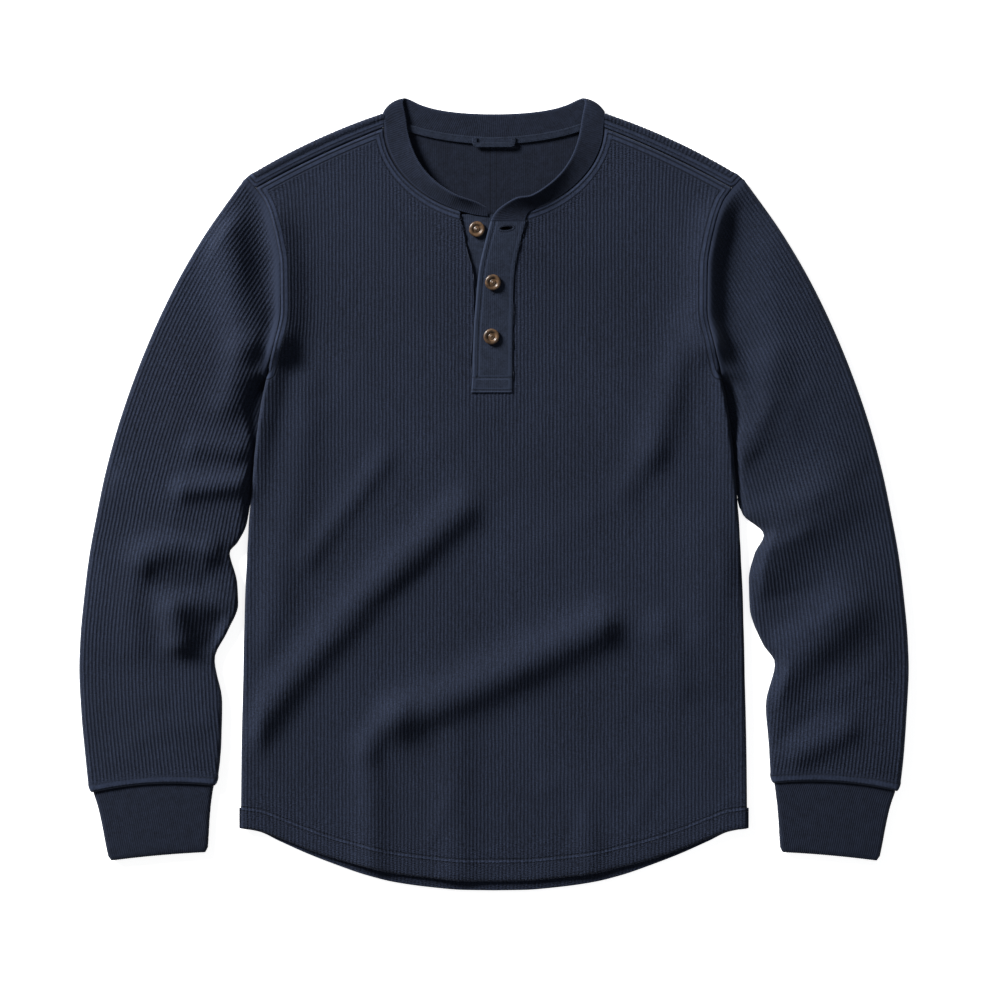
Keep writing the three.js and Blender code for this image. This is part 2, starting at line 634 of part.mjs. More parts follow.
// Where a sleeve's section lies: its fold and seam points, and the line between them, which follows the
// armhole at the top of the sleeve and arches over the cuff at its lower end
function sleeveSection(rows, along) {
  const at = (name) => curve(rows, "along", name)(along);
  const [first] = rows;
  const gap = along > 0 ? SLEEVE_CLEAR : ARMHOLE_GAP;
  const seamY = at("inner_y");
  const seam = [seamY > CLEAR_FROM_Y ? Math.max(at("inner_x"), bodyEdge(seamY) + gap) : at("inner_x"), seamY];
  const fold = [at("outer_x") + (along > 0 ? 0 : ARMHOLE_GAP), at("outer_y")];
  const fade = Math.max(0, 1 - along / ARMHOLE_REACH) ** 2;
  const arch = CUFF_ARCH * smoothstep((along - CUFF_ARCH_FROM) / (1 - CUFF_ARCH_FROM));
  const plan = (share) => {
    const armholeY = lerp(first.outer_y, first.inner_y, share);
    const curved = bodyEdge(armholeY) - lerp(first.outer_x, first.inner_x, share);
    const [x, y] = lerpPoint(fold, seam, share);
    return [x + fade * curved, y + 4 * arch * share * (1 - share)];
  };
  const height = (x, y, d) => {
    const share = d / lengthOf(fold, seam);
    const inside = Math.min(share, 1 - share) * lengthOf(fold, seam);
    const fromArmhole = y > UNDERARM_Y ? Math.abs(x) - bodyEdge(y) : UNDERARM_Y - y + FOLD_FADE * fade;
    const free = smoothstep(inside / FOLD_FADE) * smoothstep(fromArmhole / FOLD_FADE);
    return at("swell") * 4 * share * (1 - share) + foldLift(x, y) * free;
  };
  return { plan, height, width: lengthOf(fold, seam), edge: at("edge") };
}

function makeSleeve(rows, side) {
  const rings = [0, 0.03, ...spread(0.07, 1, SLEEVE_STEPS)].map((along) => {
    const { plan, height, width, edge } = sleeveSection(rows, along);
    const sided = (share) => [side * plan(share)[0], plan(share)[1]];
    const lift = (x, y, d) => settle(2 * edge + height(x, y, d)) - 2 * edge;
    return tubeRing({ plan: sided, width, edge, thick: CLOTH, lift, over: 8, under: 4 });
  });
  return wall(rings.map(([outer]) => outer), rings.map(([, inner]) => inner), true);
}

function makeCuff(rows, side) {
  const end = sleeveSection(rows, 1);
  const sewn = (share) => {
    const [x, y] = end.plan(lerp(CUFF_INSET, 1 - CUFF_INSET, share));
    return [x, y - CUFF_GAP];
  };
  const lower = CUFF.map((row) => (share) => {
    const [x, y] = lerpPoint([row.outer_x, row.outer_y], [row.inner_x, row.inner_y], share);
    return [x, y + 4 * row.arch * share * (1 - share)];
  });
  const rings = [sewn, ...lower].map((plan) => {
    const sided = (share) => [side * plan(share)[0], plan(share)[1]];
    const width = lengthOf(plan(0), plan(1));
    const lift = (x, y, d) => 4 * CUFF_SWELL * (d / width) * (1 - d / width);
    return tubeRing({ plan: sided, width, edge: CUFF_EDGE, thick: RIB_CLOTH, lift, over: 6, under: 4 });
  });
  return wall(rings.map(([outer]) => outer), rings.map(([, inner]) => inner), true);
}

// A ribbon given by its middle surface, thickened both ways along its own normals
function thicken(middle, thick) {
  const at = (r, c) => new THREE.Vector3(...middle[Math.min(middle.length - 1, Math.max(0, r))][c]);
  const offset = (by) =>
    middle.map((row, r) =>
      row.map((_, c) => {
        const along = at(r + 1, c).sub(at(r - 1, c));
        const across = at(r, Math.min(row.length - 1, c + 1)).sub(at(r, Math.max(0, c - 1)));
        return at(r, c).add(along.cross(across).normalize().multiplyScalar(by)).toArray();
      }),
    );
  return wall(offset(thick / 2), offset(-thick / 2));
}

// Seam and free edge of the neckband at each station, round the whole neck
function bandStations() {
  const necks = { front: FRONT_NECK, back: BACK_NECK };
  const half = (side) =>
    BAND.map((row) => {
      const neck = necks[row.zone];
      const line = neck ? neckPoint(neck, row.angle) : [row.seam_x, row.seam_y];
      const free = [row.edge_x, row.edge_y];
      const seam = lerpPoint(line, free, BAND_GAP / lengthOf(line, free));
      const front = frontFace(side * seam[0], seam[1]) - CLOTH / 2;
      const z = lerp(BAND_LOW, front, row.layer);
      return { seam: [side * seam[0], seam[1], z], edge: [side * free[0], free[1], z + row.rise] };
    });
  const end = ({ seam, edge, rise }) => {
    const z = frontFace(...seam) - CLOTH / 2;
    return { seam: [...seam, z], edge: [...edge, z + rise] };
  };
  const right = half(-1);
  const left = half(1).reverse().slice(1);
  return [end(BAND_END_RIGHT), ...right, ...left, end(BAND_END_LEFT)];
}

function makeNeckband() {
  const stations = bandStations();
  const path = (name) => {
    const points = stations.map((station) => new THREE.Vector3(...station[name]));
    return new THREE.CatmullRomCurve3(points, false, "centripetal");
  };
  const [seam, edge] = [path("seam"), path("edge")];
  const middle = spread(0, 1, 2 * (stations.length - 1)).map((share) => {
    const [a, b] = [seam.getPoint(share), edge.getPoint(share)];
    return spread(0, 1, 3).map((q) => {
      const { x, y } = a.clone().lerp(b, q);
      return [x, y, lerp(a.z, b.z, BAND_TURN * q * q + (1 - BAND_TURN) * q)];
    });
  });
  return thicken(middle, RIB_CLOTH);
}

// A strip between two edges that follows the front's face
function strip(rows, top, thick, steps) {
  const left = curve(rows, "y", "left");
  const right = curve(rows, "y", "right");
  const grid = (depth) =>
    spread(rows[0].y, rows.at(-1).y, steps).map((y) =>
      spread(left(y), right(y), 5).map((x) => [x, y, frontFace(x, y) + top - depth]),
    );
  return wall(grid(0), grid(thick));
}

function makeOverPlacket() {
  let placket = solid(strip(OVER_PLACKET, OVER_PROUD, OVER_CLOTH, 16));
  for (const { x, y, length, width, turn } of BUTTONHOLES) {
    const along = [Math.cos(radians(turn)), Math.sin(radians(turn))];
    const corner = (a, b) => [x + a * along[0] - b * along[1], y + a * along[1] + b * along[0]];
    const [l, w] = [length / 2, width / 2];
    placket = placket.subtract(prism([corner(-l, -w), corner(l, -w), corner(l, w), corner(-l, w)]));
  }
  return geometryOf(placket);
}

const makeUnderPlacket = () => strip(UNDER_PLACKET, -UNDER_DROP, UNDER_CLOTH, 14);

function makeButton() {
  const points = BUTTON_PROFILE.map(({ out, up }) => new THREE.Vector2(out * BUTTON_R, up * BUTTON_H));
  return new THREE.LatheGeometry(points, 24).rotateX(Math.PI / 2);
}

// A button sits on its placket, tipped with it
function placeButton(mesh, { x, y, on }) {
  const top = on === "over" ? OVER_PROUD : -UNDER_DROP;
  const face = (dx, dy) => new THREE.Vector3(x + dx, y + dy, frontFace(x + dx, y + dy) + top);
  const across = face(BUTTON_R, 0).sub(face(-BUTTON_R, 0));
  const along = face(0, BUTTON_R).sub(face(0, -BUTTON_R));
  const normal = across.cross(along).normalize();
  mesh.quaternion.setFromUnitVectors(new THREE.Vector3(0, 0, 1), normal);
  const foot = BUTTON_FOOT * BUTTON_R;
  const rises = spread(0, 330, 11).map((turn) => {
    const rim = face(foot * Math.cos(radians(turn)), foot * Math.sin(radians(turn)));
    return rim.sub(face(0, 0)).dot(normal);
  });
  const rise = Math.max(...rises);
  mesh.position.copy(face(0, 0).addScaledVector(normal, rise + SEAM_GAP));
}

// Tape over the back neck seam, lying partly on the band and partly on the back
function makeNeckTape() {
  const rows = spread(-TAPE.end_angle, TAPE.end_angle, 24).map((angle) => {
    const side = Math.sign(angle) || 1;
    const [x, y] = neckPoint(BACK_NECK, Math.abs(angle));
    const near = neckPoint(BACK_NECK, Math.abs(angle) + 1);
    const length = lengthOf([x, y], near);
    const out = [-(near[1] - y) / length, (near[0] - x) / length];
    return spread(-TAPE.below, TAPE.above, 2).map((d) => [
      side * (x + out[0] * d),
      y + out[1] * d,
      TAPE_BASE + TAPE.slope * Math.max(0, d),
    ]);
  });
  const lifted = rows.map((row) => row.map(([x, y, z]) => [x, y, z + TAPE.thick]));
  return wall(lifted, rows);
}

function makeLoop() {
  const { half, top, bottom, strap, corner } = LOOP;
  const shape = new THREE.Shape();
  shape.moveTo(-half, top);
  shape.lineTo(-half, bottom + corner);
  shape.absarc(-half + corner, bottom + corner, corner, Math.PI, 1.5 * Math.PI);
  shape.absarc(half - corner, bottom + corner, corner, 1.5 * Math.PI, 2 * Math.PI);
  shape.lineTo(half, top);
  shape.lineTo(half - strap, top);
  shape.lineTo(half - strap, bottom + strap);
  shape.lineTo(-half + strap, bottom + strap);
  shape.lineTo(-half + strap, top);
  const settings = { depth: LOOP.thick, bevelEnabled: false, curveSegments: 4 };
  return new THREE.ExtrudeGeometry(shape, settings).translate(0, 0, LOOP_BASE);
}

const garment = new THREE.Group();
function add(name, geometry, material) {
  const mesh = new THREE.Mesh(geometry, material);
  mesh.name = name;
  garment.add(mesh);
  return mesh;
}

add("front", makeFront(), knit);
add("back", makeBack(), knit);
add("sleeve_right", makeSleeve(SLEEVE_RIGHT, -1), knit);
add("sleeve_left", makeSleeve(SLEEVE_LEFT, 1), knit);
add("cuff_right", makeCuff(SLEEVE_RIGHT, -1), rib);
add("cuff_left", makeCuff(SLEEVE_LEFT, 1), rib);
add("neckband", makeNeckband(), rib);
add("placket_over", makeOverPlacket(), rib);
add("placket_under", makeUnderPlacket(), rib);
add("neck_tape", makeNeckTape(), rib);
add("neck_loop", makeLoop(), rib);
for (const row of BUTTONS) placeButton(add(row.name, makeButton(), horn), row);

export default garment;
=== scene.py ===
"""A long-sleeved waffle-knit henley top, laid flat on its back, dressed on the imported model."""

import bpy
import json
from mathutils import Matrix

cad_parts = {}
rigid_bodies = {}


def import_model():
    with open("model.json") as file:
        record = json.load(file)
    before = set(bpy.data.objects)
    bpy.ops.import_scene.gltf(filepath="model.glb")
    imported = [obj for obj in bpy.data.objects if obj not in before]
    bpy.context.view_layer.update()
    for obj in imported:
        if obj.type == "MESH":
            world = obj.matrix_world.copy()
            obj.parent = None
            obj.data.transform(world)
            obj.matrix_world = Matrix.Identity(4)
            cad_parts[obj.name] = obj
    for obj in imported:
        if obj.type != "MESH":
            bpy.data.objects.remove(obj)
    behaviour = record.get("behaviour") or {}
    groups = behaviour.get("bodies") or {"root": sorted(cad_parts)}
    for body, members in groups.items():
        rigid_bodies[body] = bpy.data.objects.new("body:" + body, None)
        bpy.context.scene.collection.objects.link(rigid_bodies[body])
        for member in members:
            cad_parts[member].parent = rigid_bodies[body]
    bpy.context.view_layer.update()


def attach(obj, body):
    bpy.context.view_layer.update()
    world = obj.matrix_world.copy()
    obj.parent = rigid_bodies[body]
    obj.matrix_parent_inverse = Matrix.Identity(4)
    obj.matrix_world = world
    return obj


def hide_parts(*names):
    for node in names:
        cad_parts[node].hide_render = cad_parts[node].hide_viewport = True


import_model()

import json
import math

import bmesh
import bpy
import numpy as np
from mathutils import Matrix, Vector
from mathutils.bvhtree import BVHTree

bl_info = {
    "name": "Thermal top",
    "version": (1, 0, 0),
    "blender": (4, 5, 0),
    "location": "View3D > Sidebar > Thermal top",
    "description": "Makes a waffle-knit henley top that lies flat",
    "category": "Object",
}

# Lengths in the tables are millimetres, and the meshes are in metres
MM = 0.001

# Steeper edges than this, in degrees, stay sharp
SMOOTH_ANGLE = 68

# Cloth: the knit's thickness, the doubled rib's, and the radius that it folds round at an edge
SHELL = 1.2
BAND_CLOTH = 2.2
EDGE_R = 3.6
LAID = 2 * EDGE_R
LOWEST = 4.4
SOFTEN = 0.9
BACK_BASE = 0.45
BACK_EDGE = 3.3

# Body: the side seams' lower ends, the turned-up hem, the shoulders and the necklines
HEM_Y = -307.1
HEM_HALF = 232.8
HEM_FOLD = 19
HEM_TURN = 1.22
UNDERARM_Y = 112.4
SAG = 1.5
SAG_REACH = 60
SHOULDER_TIP = (228.2, 290.9)
SHOULDER_NECK = (101.2, 350.3)
FORWARD_TIP = (219.0, 280.8)
FORWARD_NECK = (101.4, 336.2)
SHOULDER_BOW = 4.2
FORWARD_BOW = 2.6
FORWARD_GAP = 0.1
SHOULDER_DROP = EDGE_R * math.dist(SHOULDER_TIP, SHOULDER_NECK) / (SHOULDER_TIP[0] - SHOULDER_NECK[0])
FRONT_NECK = {"half": 101.4, "top": 336.2, "depth": 81.2, "power": 1.9}
BACK_NECK = {"half": 101.2, "top": 350.3, "depth": 27.7, "power": 1.8}
NECK_LIFT = {"height": 4.2, "x": 70, "y": 240, "reach_x": 72, "reach_y": 52}


def table(columns, rows):
    """A table's columns by name"""
    return {name: np.array([row[i] for row in rows]) for i, name in enumerate(columns.split())}


BODY_EDGE = table("y half", [
    (-307.1, 232.8),
    (-235.3, 231.8),
    (-143.3, 230.0),
    (-62.4, 227.2),
    (-5.3, 223.6),
    (49.9, 218.5),
    (86.7, 213.4),
    (112.4, 207.5),
    (137.3, 201.5),
    (169.5, 195.5),
    (210.9, 196.0),
    (230.2, 199.0),
    (249.5, 203.4),
    (267.0, 209.4),
    (279.9, 218.1),
    (290.9, 228.2),
])
HEM_DROP = table("out front back", [
    (0, 48.8, 57.4),
    (27.6, 48.3, 57.0),
    (59.8, 45.5, 54.3),
    (92.0, 41.4, 49.7),
    (117.8, 35.4, 43.2),
    (144.4, 28.5, 34.0),
    (171.1, 19.4, 23.6),
    (197.8, 8.6, 11.6),
    (215.3, 2.2, 3.4),
    (232.8, 0, 0),
])

# Sleeve sections from armhole to cuff: fold on the outer edge, seam on the inner one
SLEEVE_COLUMNS = "along outer_x outer_y inner_x inner_y edge swell"
SLEEVE_RIGHT = table(SLEEVE_COLUMNS, [
    (0.0, 228.2, 290.9, 207.5, 112.4, 3.6, 0),
    (0.088, 265.9, 237.5, 211.6, 90.3, 3.8, 1.2),
    (0.168, 292.6, 191.5, 216.2, 64.6, 4.1, 2.0),
    (0.251, 315.6, 142.8, 219.9, 36.1, 4.3, 2.4),
    (0.333, 334.0, 95.9, 222.6, 5.7, 4.4, 2.4),
    (0.41, 347.8, 53.5, 226.3, -25.6, 4.4, 2.2),
    (0.472, 357.9, 14.9, 235.5, -44.9, 4.3, 1.8),
    (0.515, 364.3, -16.4, 242.4, -54.1, 4.1, 1.2),
    (0.584, 371.7, -56.9, 235.6, -80.8, 4.4, 2.2),
    (0.642, 376.3, -93.7, 234.6, -101.0, 4.4, 2.4),
    (0.711, 380.0, -134.1, 244.7, -126.8, 4.2, 1.6),
    (0.764, 380.9, -159.9, 256.2, -151.6, 4.0, 1.0),
    (0.845, 379.0, -200.4, 249.3, -191.2, 4.3, 2.4),
    (0.926, 375.4, -239.9, 250.2, -230.7, 4.2, 2.4),
    (1.0, 371.9, -273.8, 253.9, -267.6, 3.9, 1.2),
])
SLEEVE_LEFT = table(SLEEVE_COLUMNS, [
    (0.0, 228.2, 290.9, 207.5, 112.4, 3.6, 0),
    (0.089, 265.9, 237.5, 211.6, 90.3, 3.8, 1.2),
    (0.169, 292.6, 191.5, 216.2, 64.6, 4.1, 2.0),
    (0.252, 315.6, 142.8, 219.9, 36.1, 4.3, 2.4),
    (0.334, 334.0, 95.9, 222.6, 5.7, 4.4, 2.4),
    (0.404, 347.8, 53.5, 228.0, -18.2, 4.3, 2.0),
    (0.471, 357.9, 14.9, 247.5, -37.5, 4.1, 1.2),
    (0.52, 364.3, -16.4, 239.2, -54.1, 4.3, 2.0),
    (0.587, 371.7, -56.9, 233.7, -78.9, 4.4, 2.4),
    (0.651, 376.3, -93.7, 234.6, -104.7, 4.3, 2.2),
    (0.728, 380.0, -134.1, 246.6, -137.8, 4.1, 1.4),
    (0.776, 380.9, -159.9, 257.6, -155.6, 4.0, 1.0),
    (0.855, 379.0, -200.4, 249.3, -193.9, 4.3, 2.2),
    (0.933, 376.3, -239.9, 252.1, -230.7, 4.2, 2.4),
    (1.0, 372.6, -272.6, 253.9, -265.4, 3.9, 1.2),
])
# Gaps between the sleeves and the body, which are negative where sewn edges overlap a little
SLEEVE_CLEAR = -0.3
ARMHOLE_GAP = -0.35
CLEAR_FROM_Y = -120
ARMHOLE_REACH = 0.45
CUFF_ARCH = 5
CUFF_ARCH_FROM = 0.86
CUFF = table("row outer_x outer_y inner_x inner_y arch", [
    (1, 363.9, -287.2, 259.4, -279.0, 4),
    (2, 360.0, -304.4, 261.2, -296.8, 2.5),
    (3, 356.6, -322.5, 262.2, -313.4, 1.5),
    (4, 353.6, -336.6, 263.2, -328.8, 1),
])
CUFF_EDGE = 3.3
CUFF_SWELL = 0.8
CUFF_INSET = 0.01
CUFF_CORNER = 1.5
# The sleeve's end rounds in by this much at each edge, over its last share
END_TUCK = 3.2
END_TUCK_FROM = 0.98
END_TUCK_REACH = 0.0205

# Beside the armhole the body's cloth stands up in a crest, and the sleeve's drops away from it.
# Distances are outwards from the seam: where the drop starts, where it ends, and where the cloth rises again.
CREST_HEIGHT = 6.4
CREST_REACH = 17
DROP = table("side start end level rise", [
    (-1, -3, 13, 14, 32),
    (1, 1, 19, 24, 42),
])
DROP_DEPTH = 4.6
ARMHOLE_FADE = 9
UNDERARM_RISE = {"height": 7.0, "low": -36, "high": 70}
EDGE_DROOP = {"depth": 4.8, "flat": 13, "wide": 24, "narrow": 9}
SLEEVE_LOWEST = 3.2

# Folds that the cloth has taken: ridges, or troughs where height is negative, that bow sideways
FOLD_COLUMNS = "x1 y1 x2 y2 bow width height"
FOLDS = table(FOLD_COLUMNS, [
    (-222, -215, -30, -15, -8, 17, 8.0),
    (-85, -207, 96, -121, 2, 20, 10.0),
    (104, -118, 152, -128, -4, 18, 2.4),
    (152, -126, 170, -172, -4, 16, 3.2),
    (-118, -232, -84, -196, -3, 12, 4.0),
    (-112, -345, -114, -240, 0, 14, 3.5),
    (-34, -345, -36, -230, 0, 18, 3.0),
    (88, -340, 84, -290, 0, 12, 1.8),
    (50, -268, 105, -274, -5, 9, 1.4),
    (-170, -58, -102, 30, 0, 11, 3.2),
    (-206, -130, -172, 100, 4, 18, 3.0),
    (180, 150, 146, 40, 0, 17, 4.4),
    (146, 42, 122, 4, 0, 13, 2.2),
    (190, -40, 196, -170, 0, 20, 2.0),
    (-246, 238, -228, 140, 0, 20, 9.0),
    (-230, 134, -243, 84, 0, 14, 5.0),
    (-284, 4, -228, 10, 0, 10, 6.5),
    (-272, 44, -236, 40, 0, 10, 4.0),
    (-340, 10, -300, -25, 0, 18, 3.0),
    (-320, -58, -266, -53, -6, 15, 7.5),
    (-312, -84, -268, -84, 4, 12, -2.5),
    (-294, -107, -288, -133, 0, 14, 10.0),
    (-254, -122, -251, -133, 0, 17, -5.5),
    (-328, -136, -332, -98, 0, 15, 2.2),
    (-275, -95, -247, -106, 0, 10, 2.2),
    (255, 125, 250, 95, 0, 14, 4.0),
    (253, 79, 225, 34, 0, 11, 4.5),
    (240, -64, 308, -2, 0, 29, 9.0),
    (240, -20, 290, -2, 0, 14, 2.4),
    (258, -168, 322, -108, 0, 24, 9.0),
    (278, -238, 322, -216, 0, 13, 4.5),
    (255, -215, 258, -240, 0, 7, 2.0),
    (268, 110, 272, 60, 0, 12, 1.5),
])
# Smaller creases between them, too fine for the solids
FINE_FOLDS = table(FOLD_COLUMNS, [
    (-170, 60, -120, 120, 2, 9, 0.5),
    (-150, -120, -60, -70, 3, 7, -0.7),
    (20, -60, 120, 10, 4, 12, 0.6),
    (-60, 40, 10, 90, 3, 10, 0.4),
    (110, -200, 190, -130, 4, 9, 0.6),
    (-210, 60, -190, 140, 0, 7, 0.7),
    (196, 40, 184, 150, 0, 7, 0.8),
    (-60, -320, -40, -280, 0, 6, 0.7),
    (60, -330, 82, -284, 0, 7, -0.6),
    (130, -300, 150, -262, 0, 6, 0.6),
    (-240, 30, -296, 66, 3, 6, 1.0),
    (-300, 10, -352, 30, 2, 7, -0.9),
    (-244, -62, -290, -44, 2, 6, 1.2),
    (-300, -120, -362, -80, 3, 7, 1.0),
    (-256, -150, -300, -140, 2, 5, 1.1),
    (-262, -210, -330, -226, 3, 8, 0.9),
    (238, 40, 292, 96, 3, 6, 0.9),
    (246, -52, 288, -30, 2, 6, 1.2),
    (300, -10, 356, 30, 3, 7, -0.8),
    (250, -96, 300, -84, 2, 5, -1.0),
    (262, -132, 312, -108, 2, 6, 1.1),
    (300, -190, 360, -150, 3, 8, 0.9),
    (258, -226, 300, -196, 2, 6, -0.9),
])
FOLD_FADE = 22

PLACKET_SLOT_GAP = 0.4
OVER_PLACKET = table("y left right", [
    (93.6, -21.0, 17.0),
    (106.0, -20.2, 17.0),
    (148.3, -18.9, 17.2),
    (176.4, -16.7, 17.8),
    (204.6, -14.0, 19.1),
    (232.8, -7.8, 24.8),
    (250.2, -3.3, 29.4),
])
UNDER_PLACKET = table("y left right", [
    (94.0, -20.4, 14.0),
    (150.0, -18.6, 14.0),
    (187.9, -18.2, 14.0),
    (203.0, -19.0, 13.0),
    (224.7, -24.2, 12.0),
    (256.8, -31.0, 3.0),
])


def smoothstep(value):
    t = np.clip(value, 0, 1)
    return t * t * (3 - 2 * t)


def lerp(a, b, share):
    return a + (b - a) * share


def curve(rows, key, name):
    """A smooth curve through a table's rows that never overshoots them"""
    x, y = rows[key].astype(float), rows[name].astype(float)
    steps = np.diff(y) / np.diff(x)
    before, after = steps[:-1], steps[1:]
    same_way = before * after > 0
    total = np.where(same_way, before + after, 1)
    slopes = np.concatenate([steps[:1], np.where(same_way, 2 * before * after / total, 0), steps[-1:]])

    def at(value):
        value = np.asarray(value, float)
        i = np.clip(np.searchsorted(x, value, side="right") - 1, 0, len(x) - 2)
        width = x[i + 1] - x[i]
        t = np.clip((value - x[i]) / width, 0, 1)
        t2, t3 = t * t, t * t * t
        return (
            y[i] * (2 * t3 - 3 * t2 + 1)
            + slopes[i] * width * (t3 - 2 * t2 + t)
            + y[i + 1] * (3 * t2 - 2 * t3)
            + slopes[i + 1] * width * (t3 - t2)
        )

    return at


body_edge = curve(BODY_EDGE, "y", "half")
front_drop = curve(HEM_DROP, "out", "front")
back_drop = curve(HEM_DROP, "out", "back")


def bowed(a, b, bow, share):
    """Points on a line from a to b that bows outwards by bow"""
    out = 4 * bow * share * (1 - share) / math.dist(a, b)
    x = lerp(a[0], b[0], share) + abs(b[1] - a[1]) * out
    y = lerp(a[1], b[1], share) + abs(b[0] - a[0]) * out
    return x, y


def shoulder_line(share):
    return bowed(SHOULDER_TIP, SHOULDER_NECK, SHOULDER_BOW, share)


def forward_seam(share):
    return bowed(FORWARD_TIP, FORWARD_NECK, FORWARD_BOW, share)


def neck_point(neck, angle):
    power = 2 / neck["power"]
    sin, cos = np.sin(np.radians(angle)), np.cos(np.radians(angle))
    return neck["half"] * sin ** power, neck["top"] - neck["depth"] * cos ** power


def fold_lift(folds, x, y):
    lift = np.zeros(np.broadcast(x, y).shape)
    for x1, y1, x2, y2, bow, width, height in zip(*(folds[name] for name in FOLD_COLUMNS.split())):
        dx, dy = x2 - x1, y2 - y1
        length = math.hypot(dx, dy)
        share = ((x - x1) * dx + (y - y1) * dy) / length ** 2
        held = np.clip(share, 0, 1)
        across = ((x - x1) * dy - (y - y1) * dx) / length - 4 * bow * held * (1 - held)
        beyond = (share - held) * length
        lift += height * np.exp(-(across ** 2 + beyond ** 2) / width ** 2)
    return lift


def all_folds(x, y):
    return fold_lift(FOLDS, x, y) + fold_lift(FINE_FOLDS, x, y)


def rumple(x, y):
    """The slight unevenness of cloth that has been handled, in mm"""
    return (
        0.22 * np.sin(x / 23 + 1.3 * np.sin(y / 41))
        + 0.18 * np.sin(y / 31 + 1.7 * np.sin(x / 37 + 0.6))
        + 0.10 * np.sin((x + y) / 13 + np.sin(y / 17))
    )


def settle(height, lowest=LOWEST):
    """Keeps a height from going under the lowest one, softly"""
    return lowest + SOFTEN * np.logaddexp(0, (height - lowest) / SOFTEN)


def front_face(x, y):
    """Height of the front's face: full at its edges, settled between them, lifted by folds and at the neck"""
    inside = body_edge(y) - np.abs(x)
    sag = SAG * smoothstep(inside / SAG_REACH)
    across, along = x / NECK_LIFT["reach_x"], (y - NECK_LIFT["y"]) / NECK_LIFT["reach_y"]
    neck = NECK_LIFT["height"] * np.exp(-across ** 2 - along ** 2)
    free = smoothstep(inside / lerp(FOLD_FADE, ARMHOLE_FADE, smoothstep((y - UNDERARM_Y) / 20)))
    edge = armhole_shape(x, y, -inside) + underarm_rise(y) * np.exp(-((inside / CREST_REACH) ** 2))
    return settle(LAID - sag + (all_folds(x, y) + rumple(x, y)) * free + neck + edge)


def arc_neck_y(neck, x):
    inside = np.clip(1 - (np.abs(x) / neck["half"]) ** neck["power"], 0, 1)
    return neck["top"] - neck["depth"] * inside ** (1 / neck["power"])


def front_top(share):
    x = np.abs(share) * FORWARD_TIP[0]
    along = np.clip((FORWARD_TIP[0] - x) / (FORWARD_TIP[0] - FRONT_NECK["half"]), 0, 1)
    return np.where(x > FRONT_NECK["half"], forward_seam(along)[1], arc_neck_y(FRONT_NECK, x))


# How the cloth's own columns are laid, so that each rib has the same samples
RIB_SAMPLES = 3
RIB_BEND = 0.5
SEAM_FAR = 30


def rib_columns(reach, pitch, samples):
    count = int(math.ceil(reach / pitch)) * samples
    return np.arange(-count, count + 1) * pitch / samples


def nearest(points, lines, most=SEAM_FAR):
    """Distance in the plan from each point to the nearest of the lines, up to most"""
    flat = points.reshape(-1, 2)
    best = np.full(len(flat), float(most))
    for line in lines:
        line = np.asarray(line, float)
        low, high = line.min(0) - most, line.max(0) + most
        close = np.nonzero(((flat > low) & (flat < high)).all(1))[0]
        for part in np.array_split(close, max(1, len(close) // 4000)):
            for a, b in zip(line[:-1], line[1:]):
                step = b - a
                span = max(float(step @ step), 1e-9)
                t = np.clip(((flat[part] - a) @ step) / span, 0, 1)
                d = np.hypot(*(flat[part] - a - t[:, None] * step).T)
                best[part] = np.minimum(best[part], d)
    return best.reshape(points.shape[:-1])


def resampled(line, step):
    """A plan line at even steps"""
    line = np.asarray(line, float)
    lengths = np.concatenate([[0], np.cumsum(np.hypot(*np.diff(line, axis=0).T))])
    at = np.linspace(0, lengths[-1], max(2, int(round(lengths[-1] / step)) + 1))
    return np.stack([np.interp(at, lengths, line[:, i]) for i in (0, 1)], axis=1)


def both_sides(line):
    line = np.asarray(line, float)
    return [line, line * (-1, 1)]


def front_neck_line():
    """The front neckline over half the neck, from the placket to the shoulder"""
    angles = np.linspace(4, 90, 60)
    return np.stack(neck_point(FRONT_NECK, angles), axis=1)


def forward_line():
    return np.stack(forward_seam(np.linspace(0, 1, 24)), axis=1)


def armhole_shape(x, y, out):
    """The cloth beside the armhole seam, in mm: the body stands up at it and the sleeve dips away from it"""
    along = smoothstep((y - UNDERARM_Y) / 26) * smoothstep((SHOULDER_TIP[1] - 6 - y) / 40)
    start, end, level, rise = (np.where(x < 0, *DROP[name]) for name in ("start", "end", "level", "rise"))
    closer = 1 + 0.9 * (x < 0) * (1 - smoothstep((y - UNDERARM_Y - 12) / 75))
    drop = smoothstep((out * closer - start) / (end - start))
    crest = CREST_HEIGHT * (1 - drop) * np.exp(-((np.minimum(out - start, 0) / CREST_REACH) ** 2))
    depth = DROP_DEPTH * np.where(x < 0, smoothstep((y - 150) / 60), 1)
    return (crest - depth * drop * (1 - smoothstep((out - level) / rise))) * along


def underarm_rise(y):
    """How much higher the body's side edge lies just below the armhole"""
    low, high = UNDERARM_RISE["low"], UNDERARM_RISE["high"]
    up = smoothstep((y - low) / (high - low)) * (1 - smoothstep((y - UNDERARM_Y - 20) / 30))
    return UNDERARM_RISE["height"] * up


def armhole_line():
    y = np.linspace(UNDERARM_Y, SHOULDER_TIP[1], 40)
    return np.stack([body_edge(y), y], axis=1)


# Meshes from grids of points
def grid_faces(rows, columns, keep=None):
    r = np.arange(rows - 1)[:, None] * columns
    c = np.arange(columns - 1)[None, :]
    quads = np.stack([r + c, r + c + 1, r + columns + c + 1, r + columns + c], axis=-1)
    return quads[keep] if keep is not None else quads.reshape(-1, 4)


def new_object(name, mesh):
    piece = bpy.data.objects.new(name, mesh)
    bpy.context.scene.collection.objects.link(piece)
    return piece


def only(piece):
    """Makes a piece the active one and the only one selected"""
    for each in bpy.context.view_layer.objects:
        each.select_set(False)
    piece.select_set(True)
    bpy.context.view_layer.objects.active = piece


